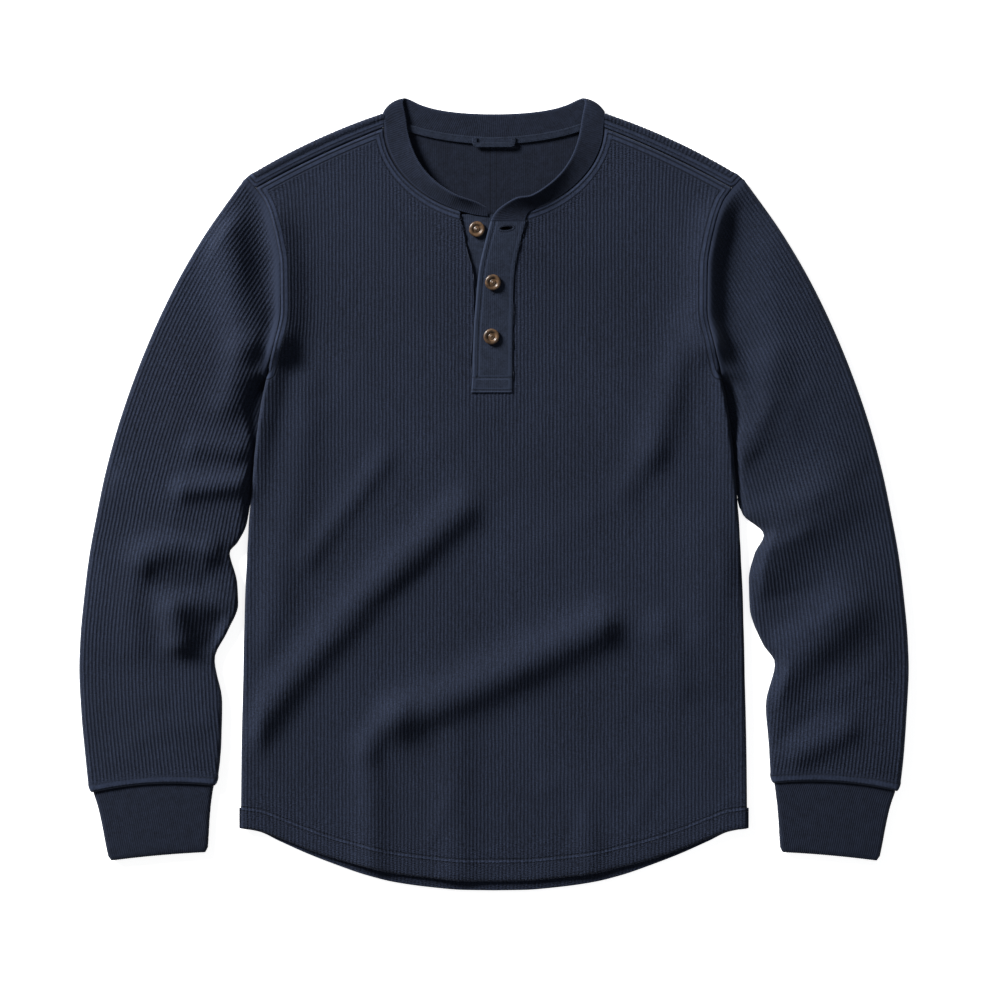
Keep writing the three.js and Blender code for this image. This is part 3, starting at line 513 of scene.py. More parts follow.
def sheet_object(name, points, uv, values, keep=None, flip=False):
    """A sheet from a grid of points in mm. Doubled points become one, and uv stays with the corners."""
    rows, columns = points.shape[:2]
    faces = grid_faces(rows, columns, keep)
    if flip:
        faces = faces[:, ::-1]
    mesh = bpy.data.meshes.new(name)
    mesh.from_pydata(points.reshape(-1, 3) * MM, [], faces.tolist())
    corner = np.empty(len(mesh.loops), np.int32)
    mesh.loops.foreach_get("vertex_index", corner)
    layer = mesh.uv_layers.new(name="UVMap")
    layer.data.foreach_set("uv", uv.reshape(-1, 2)[corner].ravel().astype(np.float32))
    for key, value in values.items():
        attribute = mesh.attributes.new(key, "FLOAT", "POINT")
        attribute.data.foreach_set("value", value.ravel().astype(np.float32))
    work = bmesh.new()
    work.from_mesh(mesh)
    bmesh.ops.remove_doubles(work, verts=work.verts, dist=1e-6)
    loose = [vert for vert in work.verts if not vert.link_faces]
    bmesh.ops.delete(work, geom=loose, context="VERTS")
    work.to_mesh(mesh)
    work.free()
    return new_object(name, mesh)


def vertex_array(mesh, name="co"):
    values = np.empty(3 * len(mesh.vertices), np.float32)
    source = mesh.vertex_normals if name == "normal" else mesh.vertices
    source.foreach_get("vector" if name == "normal" else "co", values)
    return values.reshape(-1, 3).astype(float)


def attribute_array(mesh, name):
    values = np.empty(len(mesh.vertices), np.float32)
    mesh.attributes[name].data.foreach_get("value", values)
    return values


def give_body(piece, thickness, relief="relief"):
    """Gives a sheet its thickness inwards, then raises its outer face by the relief"""
    mesh = piece.data
    count = len(mesh.vertices)
    normals = vertex_array(mesh, "normal")
    height = attribute_array(mesh, relief)
    only(piece)
    shell = piece.modifiers.new("Shell", "SOLIDIFY")
    shell.thickness = thickness * MM
    shell.offset = -1
    shell.material_offset = 1
    shell.material_offset_rim = 0
    bpy.ops.object.modifier_apply(modifier=shell.name)
    mesh = piece.data
    points = vertex_array(mesh)
    points[:count] += normals * height[:, None] * MM
    points[:, 2] = np.maximum(points[:, 2], 0)
    mesh.vertices.foreach_set("co", points.ravel().astype(np.float32))
    mesh.attributes.remove(mesh.attributes[relief])
    mesh.update()
    bpy.ops.object.shade_smooth_by_angle(angle=math.radians(SMOOTH_ANGLE))


def rib_height(count, raised):
    """Height of the knit's raised ribs at that many ribs from the middle one"""
    return raised * np.cos(2 * np.pi * count)


def seam_relief(distance):
    """Two layers of seam allowance under a double row of topstitching, and the dip into the seam"""
    plateau = 0.4 * smoothstep((distance - 0.3) / 1.2) * (1 - smoothstep((distance - 8.2) / 1.8))
    return plateau - 0.35 * np.exp(-((distance / 0.8) ** 2))


def panel_plan(sides, columns, top, top_y, drop, pitch):
    """Plan of a body panel whose ribs run upright and are cut off at its edges.

    sides are the rows' heights at the side. Returns x, y, rib counts and how far the edge arc has turned.
    """
    corner = float(body_edge(top_y))
    shares = np.linspace(0, 1, 400)
    out = []
    for side_y in sides:
        v = (side_y - HEM_Y) / (top_y - HEM_Y)
        half = float(body_edge(side_y))
        straight = lerp(HEM_HALF, corner, v)
        reach = shares * straight + shares ** 3 * (half - straight)
        curl = 1.0 if side_y <= UNDERARM_Y + 0.01 else 0.0
        inner = half - EDGE_R * curl
        near = np.minimum(np.abs(columns) / 207.5, 1) ** 6
        bend = RIB_BEND * smoothstep((side_y - UNDERARM_Y) / 40) * near * (half - 207.5)
        mapped = columns + np.sign(columns) * bend
        cut = float(np.interp(inner, mapped, columns))
        x = np.clip(mapped, -inner, inner)
        count = np.clip(columns, -cut, cut)
        turns = np.array([22.5, 45, 67.5, 90]) * curl
        arc_x = inner + EDGE_R * np.sin(np.radians(turns)) * curl
        arc_count = cut + EDGE_R * np.radians(turns)
        x = np.concatenate([-arc_x[::-1], x, arc_x])
        count = np.concatenate([-arc_count[::-1], count, arc_count])
        turned = np.concatenate([turns[::-1], np.zeros(len(columns)), turns])
        share = np.interp(np.abs(x), reach, shares)
        y = lerp(HEM_Y - drop(share * HEM_HALF), top(share), v)
        out.append((x, y, count / pitch, turned))
    return [np.array(part) for part in zip(*out)]


def wear(piece, *materials):
    for material in materials:
        piece.data.materials.append(material)


def place(piece, slot, *nodes):
    """The body that a piece rides on and the nodes that it stands for; slot, the slot of its finish, is not
    used
    """
    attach(piece, "root")
    if nodes:
        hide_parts(*nodes)


def hem_rows():
    """The turned-up layer from its upper edge down to the fold: distance above the fold and angle turned"""
    layer = [(HEM_FOLD, 180), (HEM_FOLD - 2, 180), (HEM_FOLD / 2, 180), (HEM_TURN, 180)]
    turn = [(HEM_TURN * (1 - math.sin(math.radians(a))), a) for a in (135, 90, 45)]
    return layer + turn


def hem_relief(above):
    """A double row of stitching holds the turned-up hem"""
    return 0.25 * (1 - smoothstep((above - HEM_FOLD + 0.5) / 1.6)) * smoothstep(above / 2)


def make_front(sizes, materials):
    pitch = sizes.rib_pitch / MM
    raised = sizes.rib_height / MM / 2
    columns = rib_columns(HEM_HALF + 4, pitch, RIB_SAMPLES)
    tall = FORWARD_TIP[1] - HEM_Y
    middle_low, middle_high = HEM_Y - HEM_DROP["front"][0], FRONT_NECK["top"] - FRONT_NECK["depth"]
    slot_low = OVER_PLACKET["y"][0] - PLACKET_SLOT_GAP
    slot_share = (slot_low - middle_low) / (middle_high - middle_low)
    low = [2, 5, 9, 13, 15.5, 17, 18.2, 19.4, 21, 24]
    body = np.arange(30, UNDERARM_Y - HEM_Y - 3, 6.6)
    armhole = np.arange(UNDERARM_Y - HEM_Y + 4, tall - 14, 5.4)
    high = tall - np.array([12, 9, 7.2, 5.8, 4.4, 3.2, 2.2, 1.4, 0.7, 0])
    ups = sorted({*low, *body, UNDERARM_Y - HEM_Y, *armhole, *high, slot_share * tall})
    turned_up = hem_rows()
    sides = [HEM_Y + HEM_TURN + 1e-3] * len(turned_up) + [HEM_Y + up for up in ups]
    x, y, count, turned = panel_plan(sides, columns, front_top, FORWARD_TIP[1], front_drop, pitch)
    z = front_face(x, y)
    for i, (above, angle) in enumerate(turned_up):
        y[i] += above - HEM_TURN
        z[i] -= HEM_TURN * (1 - math.cos(math.radians(angle)))
    z -= (z - EDGE_R) * (turned > 0) * (1 - np.cos(np.radians(turned)))

    # The slot for the placket: its columns close up against its two edges
    first = len(turned_up) + ups.index(slot_share * tall)
    left, right = curve(OVER_PLACKET, "y", "left"), curve(OVER_PLACKET, "y", "right")
    under = curve(UNDER_PLACKET, "y", "left")
    middle = x.shape[1] // 2
    side = np.arange(x.shape[1])
    for i in range(first, len(x)):
        lowest = np.minimum(left(y[i]), under(y[i])) - PLACKET_SLOT_GAP
        highest = right(y[i]) + PLACKET_SLOT_GAP
        in_left = (x[i] > lowest) & (side < middle)
        in_right = (x[i] < highest) & (side >= middle)
        if i == first:
            hole = in_left | in_right
            a, b = np.nonzero(hole)[0][[0, -1]]
            x[i, a], x[i, b] = lowest[a], highest[b]
            continue
        x[i] = np.where(in_left, lowest, np.where(in_right, highest, x[i]))
    z_slot = front_face(x[first:], y[first:])
    z[first:] = np.where(turned[first:] > 0, z[first:], z_slot)
    keep = np.ones((x.shape[0] - 1, x.shape[1] - 1), bool)
    keep[first, a:b] = False
    keep[first + 1:, middle - 1] = False

    neck = front_neck_line()
    lines = both_sides(neck) + both_sides(forward_line()) + both_sides(armhole_line())
    seam = nearest(np.stack([x, y], axis=-1), lines)
    above_hem = y - (HEM_Y - front_drop(np.minimum(np.abs(x), HEM_HALF)))
    above_hem[: len(turned_up)] = 40
    hem = np.abs(above_hem)
    weak = 1 - 0.82 * (1 - smoothstep((seam - 6) / 4)) - 0.35 * (1 - smoothstep((hem - 17) / 6))
    relief = rib_height(count, raised) * np.clip(weak, 0.1, 1) + seam_relief(seam) + hem_relief(hem)
    relief[: len(turned_up)] = 0
    plain = 1 - smoothstep((seam - 7.5) / 2)
    values = {"relief": relief, "seam": seam, "hem": np.minimum(hem, 60), "plain": plain}
    points = np.stack([x, y, z], axis=-1)
    piece = sheet_object("front_panel", points, np.stack([count, y], axis=-1), values, keep)
    wear(piece, materials["knit"], materials["inside"])
    give_body(piece, SHELL)
    place(piece, "knit", "front")
    return piece


def make_back(sizes, materials):
    pitch = sizes.rib_pitch / MM
    raised = sizes.rib_height / MM / 2
    columns = rib_columns(HEM_HALF + 4, pitch, RIB_SAMPLES)
    snap = int(np.argmin(np.abs(columns - BACK_NECK["half"])))
    columns[snap], columns[len(columns) - 1 - snap] = BACK_NECK["half"], -BACK_NECK["half"]
    tip = (float(body_edge(SHOULDER_TIP[1] - SHOULDER_DROP)), SHOULDER_TIP[1] - SHOULDER_DROP)

    def top(share):
        x = np.abs(share) * tip[0]
        along = np.clip((SHOULDER_TIP[0] - x) / (SHOULDER_TIP[0] - BACK_NECK["half"]), 0, 1)
        over = shoulder_line(along)[1] - SHOULDER_DROP
        neck = np.minimum(arc_neck_y(BACK_NECK, x), BACK_NECK["top"] - SHOULDER_DROP)
        return np.where(x > BACK_NECK["half"], over, neck)

    tall = tip[1] - HEM_Y
    low = [2, 5, 9, 13, 15.5, 17, 18.2, 19.4, 21, 24]
    body = np.arange(32, UNDERARM_Y - HEM_Y - 3, 8.5)
    armhole = np.arange(UNDERARM_Y - HEM_Y + 4, tall - 12, 8)
    high = tall - np.array([12, 9, 6, 4, 2, 0])
    ups = sorted({*low, *body, UNDERARM_Y - HEM_Y, *armhole, *high})
    turned_up = hem_rows()
    sides = [HEM_Y + HEM_TURN + 1e-3] * len(turned_up) + [HEM_Y + up for up in ups]
    x, y, count, turned = panel_plan(sides, columns, top, tip[1], back_drop, pitch)
    swing = EDGE_R * (1 - np.cos(np.radians(turned)))
    z = BACK_BASE + swing * (BACK_EDGE - BACK_BASE) / EDGE_R
    for i, (above, angle) in enumerate(turned_up):
        y[i] += above - HEM_TURN
        z[i] += HEM_TURN * (1 - math.cos(math.radians(angle)))
    flat_rows = len(sides)

    # The wrap: up round the shoulder fold and down the front to the forward seam
    reach = np.clip((SHOULDER_TIP[0] - np.abs(x[-1])) / (SHOULDER_TIP[0] - BACK_NECK["half"]), 0, 1)
    reach = np.where(np.abs(x[-1]) >= tip[0] - 0.01, 0, reach)
    fold, seam_at = np.stack(shoulder_line(reach)), np.stack(forward_seam(reach))
    width = np.hypot(*(seam_at - fold))
    radius = EDGE_R - BACK_BASE / 2
    centre = BACK_BASE + radius
    extra = []
    for angle in np.arange(-72, 91, 18):
        turn = math.radians(angle)
        extra.append((radius - radius * math.cos(turn), centre + radius * math.sin(turn), None))
    for share in np.linspace(0.3, 1, 7):
        extra.append((None, None, share))
    wrap_x, wrap_y, wrap_z = [], [], []
    for d, height, share in extra:
        along = (width - FORWARD_GAP) * share if share is not None else np.full_like(width, d)
        spot = fold + (seam_at - fold) * (along / width)
        px, py = np.sign(x[-1]) * spot[0], spot[1]
        if height is None:
            soft = smoothstep((along - EDGE_R) / EDGE_R)
            height = lerp(LAID, front_face(px, py), soft)
        wrap_x.append(px)
        wrap_y.append(py)
        wrap_z.append(np.broadcast_to(height, px.shape))
    lengths = np.array([0.0] + [6 * (i + 1) / 4 for i in range(len(extra))])
    x = np.vstack([x, wrap_x])
    y = np.vstack([y, wrap_y])
    z = np.vstack([z, wrap_z])
    count = np.vstack([count] + [count[-1:]] * len(extra))
    length = y.copy()
    length[flat_rows:] = y[flat_rows - 1] + lengths[1:, None] * 1.5
    keep = np.ones((x.shape[0] - 1, x.shape[1] - 1), bool)
    arcs = 4
    a, b = arcs + len(columns) - 1 - snap, arcs + snap
    keep[flat_rows - 1:, a:b] = False

    lines = both_sides(armhole_line()) + both_sides(forward_line())
    seam = nearest(np.stack([x, y], axis=-1), lines)
    on_top = np.zeros_like(x, bool)
    on_top[flat_rows:] = True
    armhole_seam = nearest(np.stack([x, y], axis=-1), both_sides(armhole_line()))
    seam = np.where(on_top, seam, armhole_seam)
    above_hem = y - (HEM_Y - back_drop(np.minimum(np.abs(x), HEM_HALF)))
    hem = np.abs(above_hem)
    weak = 1 - 0.82 * (1 - smoothstep((seam - 6) / 4)) - 0.35 * (1 - smoothstep((hem - 17) / 6))
    relief = rib_height(count, raised) * np.clip(weak, 0.1, 1) + seam_relief(seam) * on_top
    relief[: len(turned_up)] = 0
    plain = (1 - smoothstep((seam - 7.5) / 2)) * on_top
    values = {"relief": relief, "seam": seam, "hem": np.minimum(hem, 60), "plain": plain}
    points = np.stack([x, y, z], axis=-1)
    uv = np.stack([count, length], axis=-1)
    piece = sheet_object("back_panel", points, uv, values, keep, flip=True)
    wear(piece, materials["knit"], materials["inside"])
    give_body(piece, SHELL)
    place(piece, "knit", "back")
    return piece


SLEEVE_TABLES = {"right": (SLEEVE_RIGHT, -1), "left": (SLEEVE_LEFT, 1)}


def sleeve_section(rows, along, shares):
    """Plan points of a sleeve's section from its fold to its seam, with its width, edge radius and swell"""
    at = {name: float(curve(rows, "along", name)(along)) for name in SLEEVE_COLUMNS.split()[1:]}
    first = {name: rows[name][0] for name in rows}
    gap = SLEEVE_CLEAR if along > 0 else ARMHOLE_GAP
    seam_y = at["inner_y"]
    seam_x = at["inner_x"]
    if seam_y > CLEAR_FROM_Y:
        seam_x = max(seam_x, float(body_edge(seam_y)) + gap)
    fold_x, fold_y = at["outer_x"] + (0 if along > 0 else ARMHOLE_GAP), at["outer_y"]
    ending = min(1, max(0, (along - END_TUCK_FROM) / END_TUCK_REACH))
    round_end = END_TUCK * (1 - math.sqrt(1 - ending ** 2))
    fold_x, seam_x = fold_x - round_end, seam_x + round_end
    fade = max(0, 1 - along / ARMHOLE_REACH) ** 2
    arch = CUFF_ARCH * smoothstep((along - CUFF_ARCH_FROM) / (1 - CUFF_ARCH_FROM))
    armhole_y = lerp(first["outer_y"], first["inner_y"], shares)
    curved = body_edge(armhole_y) - lerp(first["outer_x"], first["inner_x"], shares)
    x = lerp(fold_x, seam_x, shares) + fade * curved
    y = lerp(fold_y, seam_y, shares) + 4 * arch * shares * (1 - shares)
    return x, y, math.dist((fold_x, fold_y), (seam_x, seam_y)), at["edge"], at["swell"], fade


def tube_columns(width, radius, steps):
    """Round a flattened tube at fixed steps from its fold: share of its width, how far it has turned"""
    half_turn = math.pi * radius / 2
    length = width - 2 * radius + 2 * half_turn
    s = np.minimum(steps, length)
    from_fold = np.where(s < half_turn, radius * (1 - np.cos(s / radius)), s - half_turn + radius)
    q = length - s
    from_seam = np.where(q < half_turn, radius * (1 - np.cos(q / radius)), q - half_turn + radius)
    across = np.where(s < length / 2, from_fold, width - from_seam)
    turn = np.minimum(np.minimum(s, q) / radius, math.pi / 2)
    return across, turn, s


def make_sleeve(side, sizes, materials):
    rows, sign = SLEEVE_TABLES[side]
    pitch = sizes.rib_pitch / MM
    raised = sizes.rib_height / MM / 2
    steps = np.arange(0, 150 / pitch * 4) * pitch / 4
    along = np.concatenate([[0, 0.004, 0.009, 0.015, 0.023, 0.033], np.linspace(0.045, 0.955, 84)])
    along = np.concatenate([along, [0.965, 0.973, 0.98, 0.986, 0.991, 0.996, 1]])
    dense = np.linspace(0, 1, 160)
    fold_at = np.linspace(0, 1, 120)
    fold = np.stack([curve(rows, "along", name)(fold_at) for name in ("outer_x", "outer_y")], axis=1)
    before, after = fold[0] - fold[1], fold[-1] - fold[-2]
    before, after = before / np.hypot(*before), after / np.hypot(*after)
    fold = np.vstack([fold[0] + 60 * before, fold, fold[-1] + 60 * after])
    grids = {"x": [], "y": [], "z": [], "count": [], "length": [], "share": []}
    length = 0.0
    last = None
    for one in along:
        px, py, width, edge, swell, _ = sleeve_section(rows, one, dense)
        from_fold = nearest(np.stack([px, py], axis=-1), [fold], 400)
        from_fold[0] = 0
        from_fold = np.maximum.accumulate(from_fold)
        far = from_fold[-1]
        across, turn, s = tube_columns(far, edge, steps)
        share = np.interp(across, from_fold, dense)
        x, y = np.interp(share, dense, px), np.interp(share, dense, py)
        inside = np.minimum(share, 1 - share) * width
        corner = np.hypot(np.maximum(x - body_edge(UNDERARM_Y), 0), UNDERARM_Y - y)
        armhole = np.where(y > UNDERARM_Y, x - body_edge(y), corner)
        free = smoothstep(inside / 14) * smoothstep((armhole + 2) / FOLD_FADE)
        lift = swell * 4 * share * (1 - share) + (all_folds(sign * x, y) + rumple(sign * x, y)) * free
        out = x - body_edge(y)
        lift = lift + armhole_shape(sign * x, y, out)
        under = smoothstep((y - UNDERARM_Y + 16) / 16)
        lift = lift + underarm_rise(y) * under * np.exp(-((out / CREST_REACH) ** 2))
        beside = smoothstep((UNDERARM_Y + 6 - y) / 20) * smoothstep((y + 40) / 30)
        high_up = smoothstep((y - 40) / 50)
        from_seam = (1 - share) * width - EDGE_DROOP["flat"] * high_up
        reach = lerp(EDGE_DROOP["narrow"], EDGE_DROOP["wide"], high_up)
        lift = lift - EDGE_DROOP["depth"] * beside * (1 - smoothstep(from_seam / reach))
        upper = 2 * edge + lift
        upper = settle(upper, SLEEVE_LOWEST) - 2 * edge
        sin = np.sin(turn)
        top = edge + edge * sin + sin * upper
        bottom = np.maximum(edge - (edge - BACK_BASE) * sin, BACK_BASE)
        if last is not None:
            length += math.dist(last, (px[0], py[0]))
        last = (px[0], py[0])
        ring = lambda upper_part, lower_part: np.concatenate([upper_part[::-1], lower_part[1:]])
        grids["x"].append(ring(x, x) * sign)
        grids["y"].append(ring(y, y))
        grids["z"].append(ring(top, bottom))
        grids["count"].append(ring(s, -s) / pitch)
        grids["length"].append(np.full(2 * len(s) - 1, length) + ring(y, y) * 0)
        grids["share"].append(ring(share, share))
    grids = {name: np.array(value) for name, value in grids.items()}
    x, y, z = grids["x"], grids["y"], grids["z"]
    plan = np.stack([np.abs(x), y], axis=-1)
    armhole_seam = nearest(plan, [armhole_line() + (ARMHOLE_GAP, 0)])
    end = sleeve_section(rows, 1.0, np.linspace(0, 1, 30))
    cuff_seam = nearest(plan, [np.stack(end[:2], axis=1)])
    seam_edge = (1 - grids["share"]) * 110
    seam = np.minimum(armhole_seam, SEAM_FAR)
    weak = 1 - 0.7 * (1 - smoothstep((seam - 5) / 5)) - 0.85 * (1 - smoothstep((cuff_seam - 6) / 3))
    weak = weak * (0.25 + 0.75 * smoothstep(seam_edge / 3))
    relief = rib_height(grids["count"], raised) * np.clip(weak, 0.1, 1)
    relief += 0.3 * (1 - smoothstep((seam - 4.5) / 1.5)) - 0.8 * np.exp(-((seam / 1.1) ** 2))
    relief += 0.5 * smoothstep((cuff_seam + 1) / 2) * (1 - smoothstep((cuff_seam - 8) / 2))
    relief -= 0.35 * np.exp(-((seam_edge / 1.2) ** 2))
    marks = np.where(seam < 1.5, seam, SEAM_FAR)
    marks = np.where(cuff_seam < 9, SEAM_ROWS[0] + cuff_seam * 0.57, marks)
    plain = np.maximum(1 - smoothstep((armhole_seam - 4.5) / 3), 1 - smoothstep((cuff_seam - 7.2) / 1.6))
    values = {"relief": relief, "seam": marks, "hem": np.full(marks.shape, 60.0), "plain": plain}
    points = np.stack([x, y, z], axis=-1)
    uv = np.stack([grids["count"], -grids["length"]], axis=-1)
    piece = sheet_object(f"sleeve_{side}_knit", points, uv, values, flip=sign > 0)
    wear(piece, materials["knit"], materials["inside"])
    give_body(piece, SHELL)
    place(piece, "knit", f"sleeve_{side}")
    return piece


def make_cuff(side, sizes, materials):
    rows, sign = SLEEVE_TABLES[side]
    pitch = sizes.fine_rib_pitch / MM
    steps = np.arange(0, 130 / pitch * 3) * pitch / 3
    end_x, end_y, *_ = sleeve_section(rows, 1.0, np.array([CUFF_INSET, 0.5, 1 - CUFF_INSET]))
    sewn = {"outer_x": end_x[0], "outer_y": end_y[0], "inner_x": end_x[2], "inner_y": end_y[2]}
    sewn["arch"] = end_y[1] - (end_y[0] + end_y[2]) / 2
    stations = {name: np.concatenate([[sewn[name]], CUFF[name]]) for name in sewn}
    stations["row"] = np.arange(5.0)
    # Down the outside, round the folded lower edge, and up inside
    wall = BAND_CLOTH
    roll = wall / 2
    down = [(row, 0) for row in np.linspace(-0.12, 3.7, 18)]
    turn = [(4, angle) for angle in (-60, -30, 0, 30, 60)]
    up = [(row, 180) for row in (3.7, 3.2, 2.4, 1.2, -0.12)]
    lists = {"x": [], "y": [], "z": [], "count": [], "along": []}
    for row, angle in down + turn + up:
        held = max(row, 0)
        at = {name: float(curve(stations, "row", name)(held)) for name in sewn}
        if row < 0:
            at["outer_y"] -= row * 20
            at["inner_y"] -= row * 20
        depth = roll * (1 + math.sin(math.radians(angle)))
        if angle == 0 and row < 4:
            depth = 0.0
        elif angle == 180:
            depth = wall
        sink = roll * (1 - math.cos(math.radians(angle))) if row == 4 else 0
        width = math.dist((at["outer_x"], at["outer_y"]), (at["inner_x"], at["inner_y"]))
        taper = 0.9 * smoothstep((row - 3) / 1)
        corner = CUFF_CORNER * max(0, (row - 3.8) / 0.2) ** 2
        at["outer_x"] -= corner
        at["inner_x"] += corner
        radius = CUFF_EDGE - depth - taper * 0.2
        across, turned, s = tube_columns(width, CUFF_EDGE, steps)
        sin = np.sin(turned)
        pull = depth * np.where(turned < math.pi / 2, np.cos(turned), 0)
        signed = np.where(s < width / 2, 1, -1)
        share = np.clip((across + signed * pull) / width, 0, 1)
        x = lerp(at["outer_x"], at["inner_x"], share)
        y = lerp(at["outer_y"], at["inner_y"], share) + 4 * at["arch"] * share * (1 - share) + sink
        swell = CUFF_SWELL * 4 * share * (1 - share)
        top = CUFF_EDGE + radius * sin + sin * swell
        bottom = CUFF_EDGE - (radius - BACK_BASE * 0.5) * sin
        lists["x"].append(np.concatenate([x[::-1], x[1:]]) * sign)
        lists["y"].append(np.concatenate([y[::-1], y[1:]]))
        lists["z"].append(np.concatenate([top[::-1], bottom[1:]]))
        lists["count"].append(np.concatenate([s[::-1], -s[1:]]) / pitch)
        lists["along"].append(np.full(2 * len(s) - 1, row * 17 - (depth if angle else 0)))
    for value in lists.values():
        value.append(value[0].copy())
    grid = {name: np.array(value) for name, value in lists.items()}
    points = np.stack([grid["x"], grid["y"], grid["z"]], axis=-1)
    outside = (np.arange(len(points)) < len(down) + 3)[:, None]
    relief = 0.16 * np.cos(2 * np.pi * grid["count"]) * outside
    values = {"relief": relief, "seam": np.full(relief.shape, 30.0), "hem": np.full(relief.shape, 60.0)}
    uv = np.stack([grid["count"], grid["along"]], axis=-1)
    piece = sheet_object(f"cuff_{side}_rib", points, uv, values, flip=sign > 0)
    wear(piece, materials["rib"])
    raise_outside(piece)
    place(piece, "rib", f"cuff_{side}")
    return piece


def raise_outside(piece, relief="relief"):
    """Raises a closed piece's surface by its relief along its normals"""
    mesh = piece.data
    points = vertex_array(mesh) + vertex_array(mesh, "normal") * attribute_array(mesh, relief)[:, None] * MM
    points[:, 2] = np.maximum(points[:, 2], 0)
    mesh.vertices.foreach_set("co", points.ravel().astype(np.float32))
    mesh.attributes.remove(mesh.attributes[relief])
    mesh.update()
    only(piece)
    bpy.ops.object.shade_smooth_by_angle(angle=math.radians(SMOOTH_ANGLE))


# Neckband stations over half the neck, as in the solids: the seam's place, the free edge and its rise
BAND = table("zone angle seam_x seam_y edge_x edge_y layer rise", [
    ("front", 24, 0, 0, 34.0, 273.8, 1, 8.5),
    ("front", 37, 0, 0, 50.6, 284.4, 1, 7.2),
    ("front", 50, 0, 0, 62.8, 296.6, 1, 5.5),
    ("front", 63, 0, 0, 71.1, 309.7, 1, 4.0),
    ("front", 75, 0, 0, 76.4, 323.4, 1, 2.5),
    ("front", 83, 0, 0, 79.0, 334.0, 1, 1.6),
    ("front", 90, 0, 0, 80.8, 345.6, 1, 0.9),
    ("fold", 0, 102.0, 344.8, 82.6, 354.6, 1, 0.3),
    ("fold", 0, 101.7, 348.8, 83.4, 360.4, 0.86, 0),
    ("fold", 0, 101.2, 350.2, 81.6, 363.0, 0.5, 0),
    ("fold", 0, 100.0, 349.2, 78.0, 363.0, 0.14, 0),
    ("back", 74, 0, 0, 73.4, 361.0, 0, 0),
    ("back", 62, 0, 0, 67.0, 358.0, 0, 0.2),
    ("back", 49, 0, 0, 56.0, 354.6, 0, 0.5),
    ("back", 36, 0, 0, 42.3, 352.0, 0, 0.8),
    ("back", 23, 0, 0, 26.0, 350.3, 0, 1.0),
    ("back", 11, 0, 0, 12.4, 349.6, 0, 1.0),
    ("back", 0, 0, 0, 0, 349.4, 0, 1.0),
])
# The band's two front ends. The right one is cut off blunt over the under placket. The left one swings round
# until its end lies along the over placket's top, so that its free edge runs on into the placket's own.
BAND_END_COLUMNS = "seam_x seam_y edge_x edge_y rise"
BAND_END_RIGHT = table(BAND_END_COLUMNS, [
    (-5.6, 254.6, -7.4, 263.4, 1.6),
    (-19.0, 256.4, -15.2, 267.6, 3.6),
])
BAND_END_LEFT = table(BAND_END_COLUMNS, [
    (31.6, 257.6, 21.4, 271.6, 7.6),
    (30.4, 254.2, 10.2, 265.8, 5.4),
    (29.8, 252.0, 1.8, 259.2, 2.4),
    (29.6, 250.5, -3.2, 250.7, 0.4),
])
BAND_GAP = 0.2
BAND_BULGE = 2.9
BAND_TURN = 0.85
BAND_LOW = 1.2
BAND_STEPS = 440
CAD_WALL = 1.7


def smooth_path(points, shares):
    """A centripetal Catmull-Rom path through points, at shares of the way from station to station"""
    points = np.asarray(points, float)
    full = np.vstack([2 * points[0] - points[1], points, 2 * points[-1] - points[-2]])
    at = np.clip(np.asarray(shares) * (len(points) - 1), 0, len(points) - 1 - 1e-9)
    i = at.astype(int)
    t = (at - i)[:, None]
    p0, p1, p2, p3 = (full[i + k] for k in range(4))
    d0, d1, d2 = (np.maximum(np.linalg.norm(b - a, axis=1, keepdims=True) ** 0.5, 1e-3)
                  for a, b in ((p0, p1), (p1, p2), (p2, p3)))
    m1 = ((p1 - p0) / d0 - (p2 - p0) / (d0 + d1) + (p2 - p1) / d1) * d1
    m2 = ((p2 - p1) / d1 - (p3 - p1) / (d1 + d2) + (p3 - p2) / d2) * d1
    t2, t3 = t * t, t * t * t
    return p1 * (2 * t3 - 3 * t2 + 1) + m1 * (t3 - 2 * t2 + t) + p2 * (3 * t2 - 2 * t3) + m2 * (t3 - t2)


def band_stations():
    necks = {"front": FRONT_NECK, "back": BACK_NECK}
    halves = {}
    for side in (-1, 1):
        half = []
        for zone, angle, sx, sy, ex, ey, layer, rise in zip(*BAND.values()):
            angle, sx, sy, ex, ey, layer, rise = (float(v) for v in (angle, sx, sy, ex, ey, layer, rise))
            line = neck_point(necks[zone], angle) if zone in necks else (sx, sy)
            inwards = BAND_GAP / math.dist(line, (ex, ey))
            seam = (lerp(line[0], ex, inwards), lerp(line[1], ey, inwards))
            front = float(front_face(np.array(side * seam[0]), np.array(seam[1]))) - CAD_WALL / 2
            z = lerp(BAND_LOW, front, layer)
            half.append(((side * seam[0], seam[1], z), (side * ex, ey, z + rise)))
        halves[side] = half
    right, left = [], []
    for end, rows in ((right, BAND_END_RIGHT), (left, BAND_END_LEFT)):
        for sx, sy, ex, ey, rise in zip(*rows.values()):
            z = float(front_face(np.array(sx), np.array(sy))) - (CAD_WALL / 2 if end is right else -0.3)
            end.append(((sx, sy, z), (ex, ey, z + rise)))
    return [*right, *halves[-1], *halves[1][::-1][1:], *left]


def ribbon(middle, half_thickness):
    """Top and bottom points of a ribbon from its middle surface, pushed both ways along its normals"""
    along = np.gradient(middle, axis=0)
    across = np.gradient(middle, axis=1)
    normal = np.cross(along, across)
    normal /= np.linalg.norm(normal, axis=-1, keepdims=True)
    return middle + normal * half_thickness, middle - normal * half_thickness


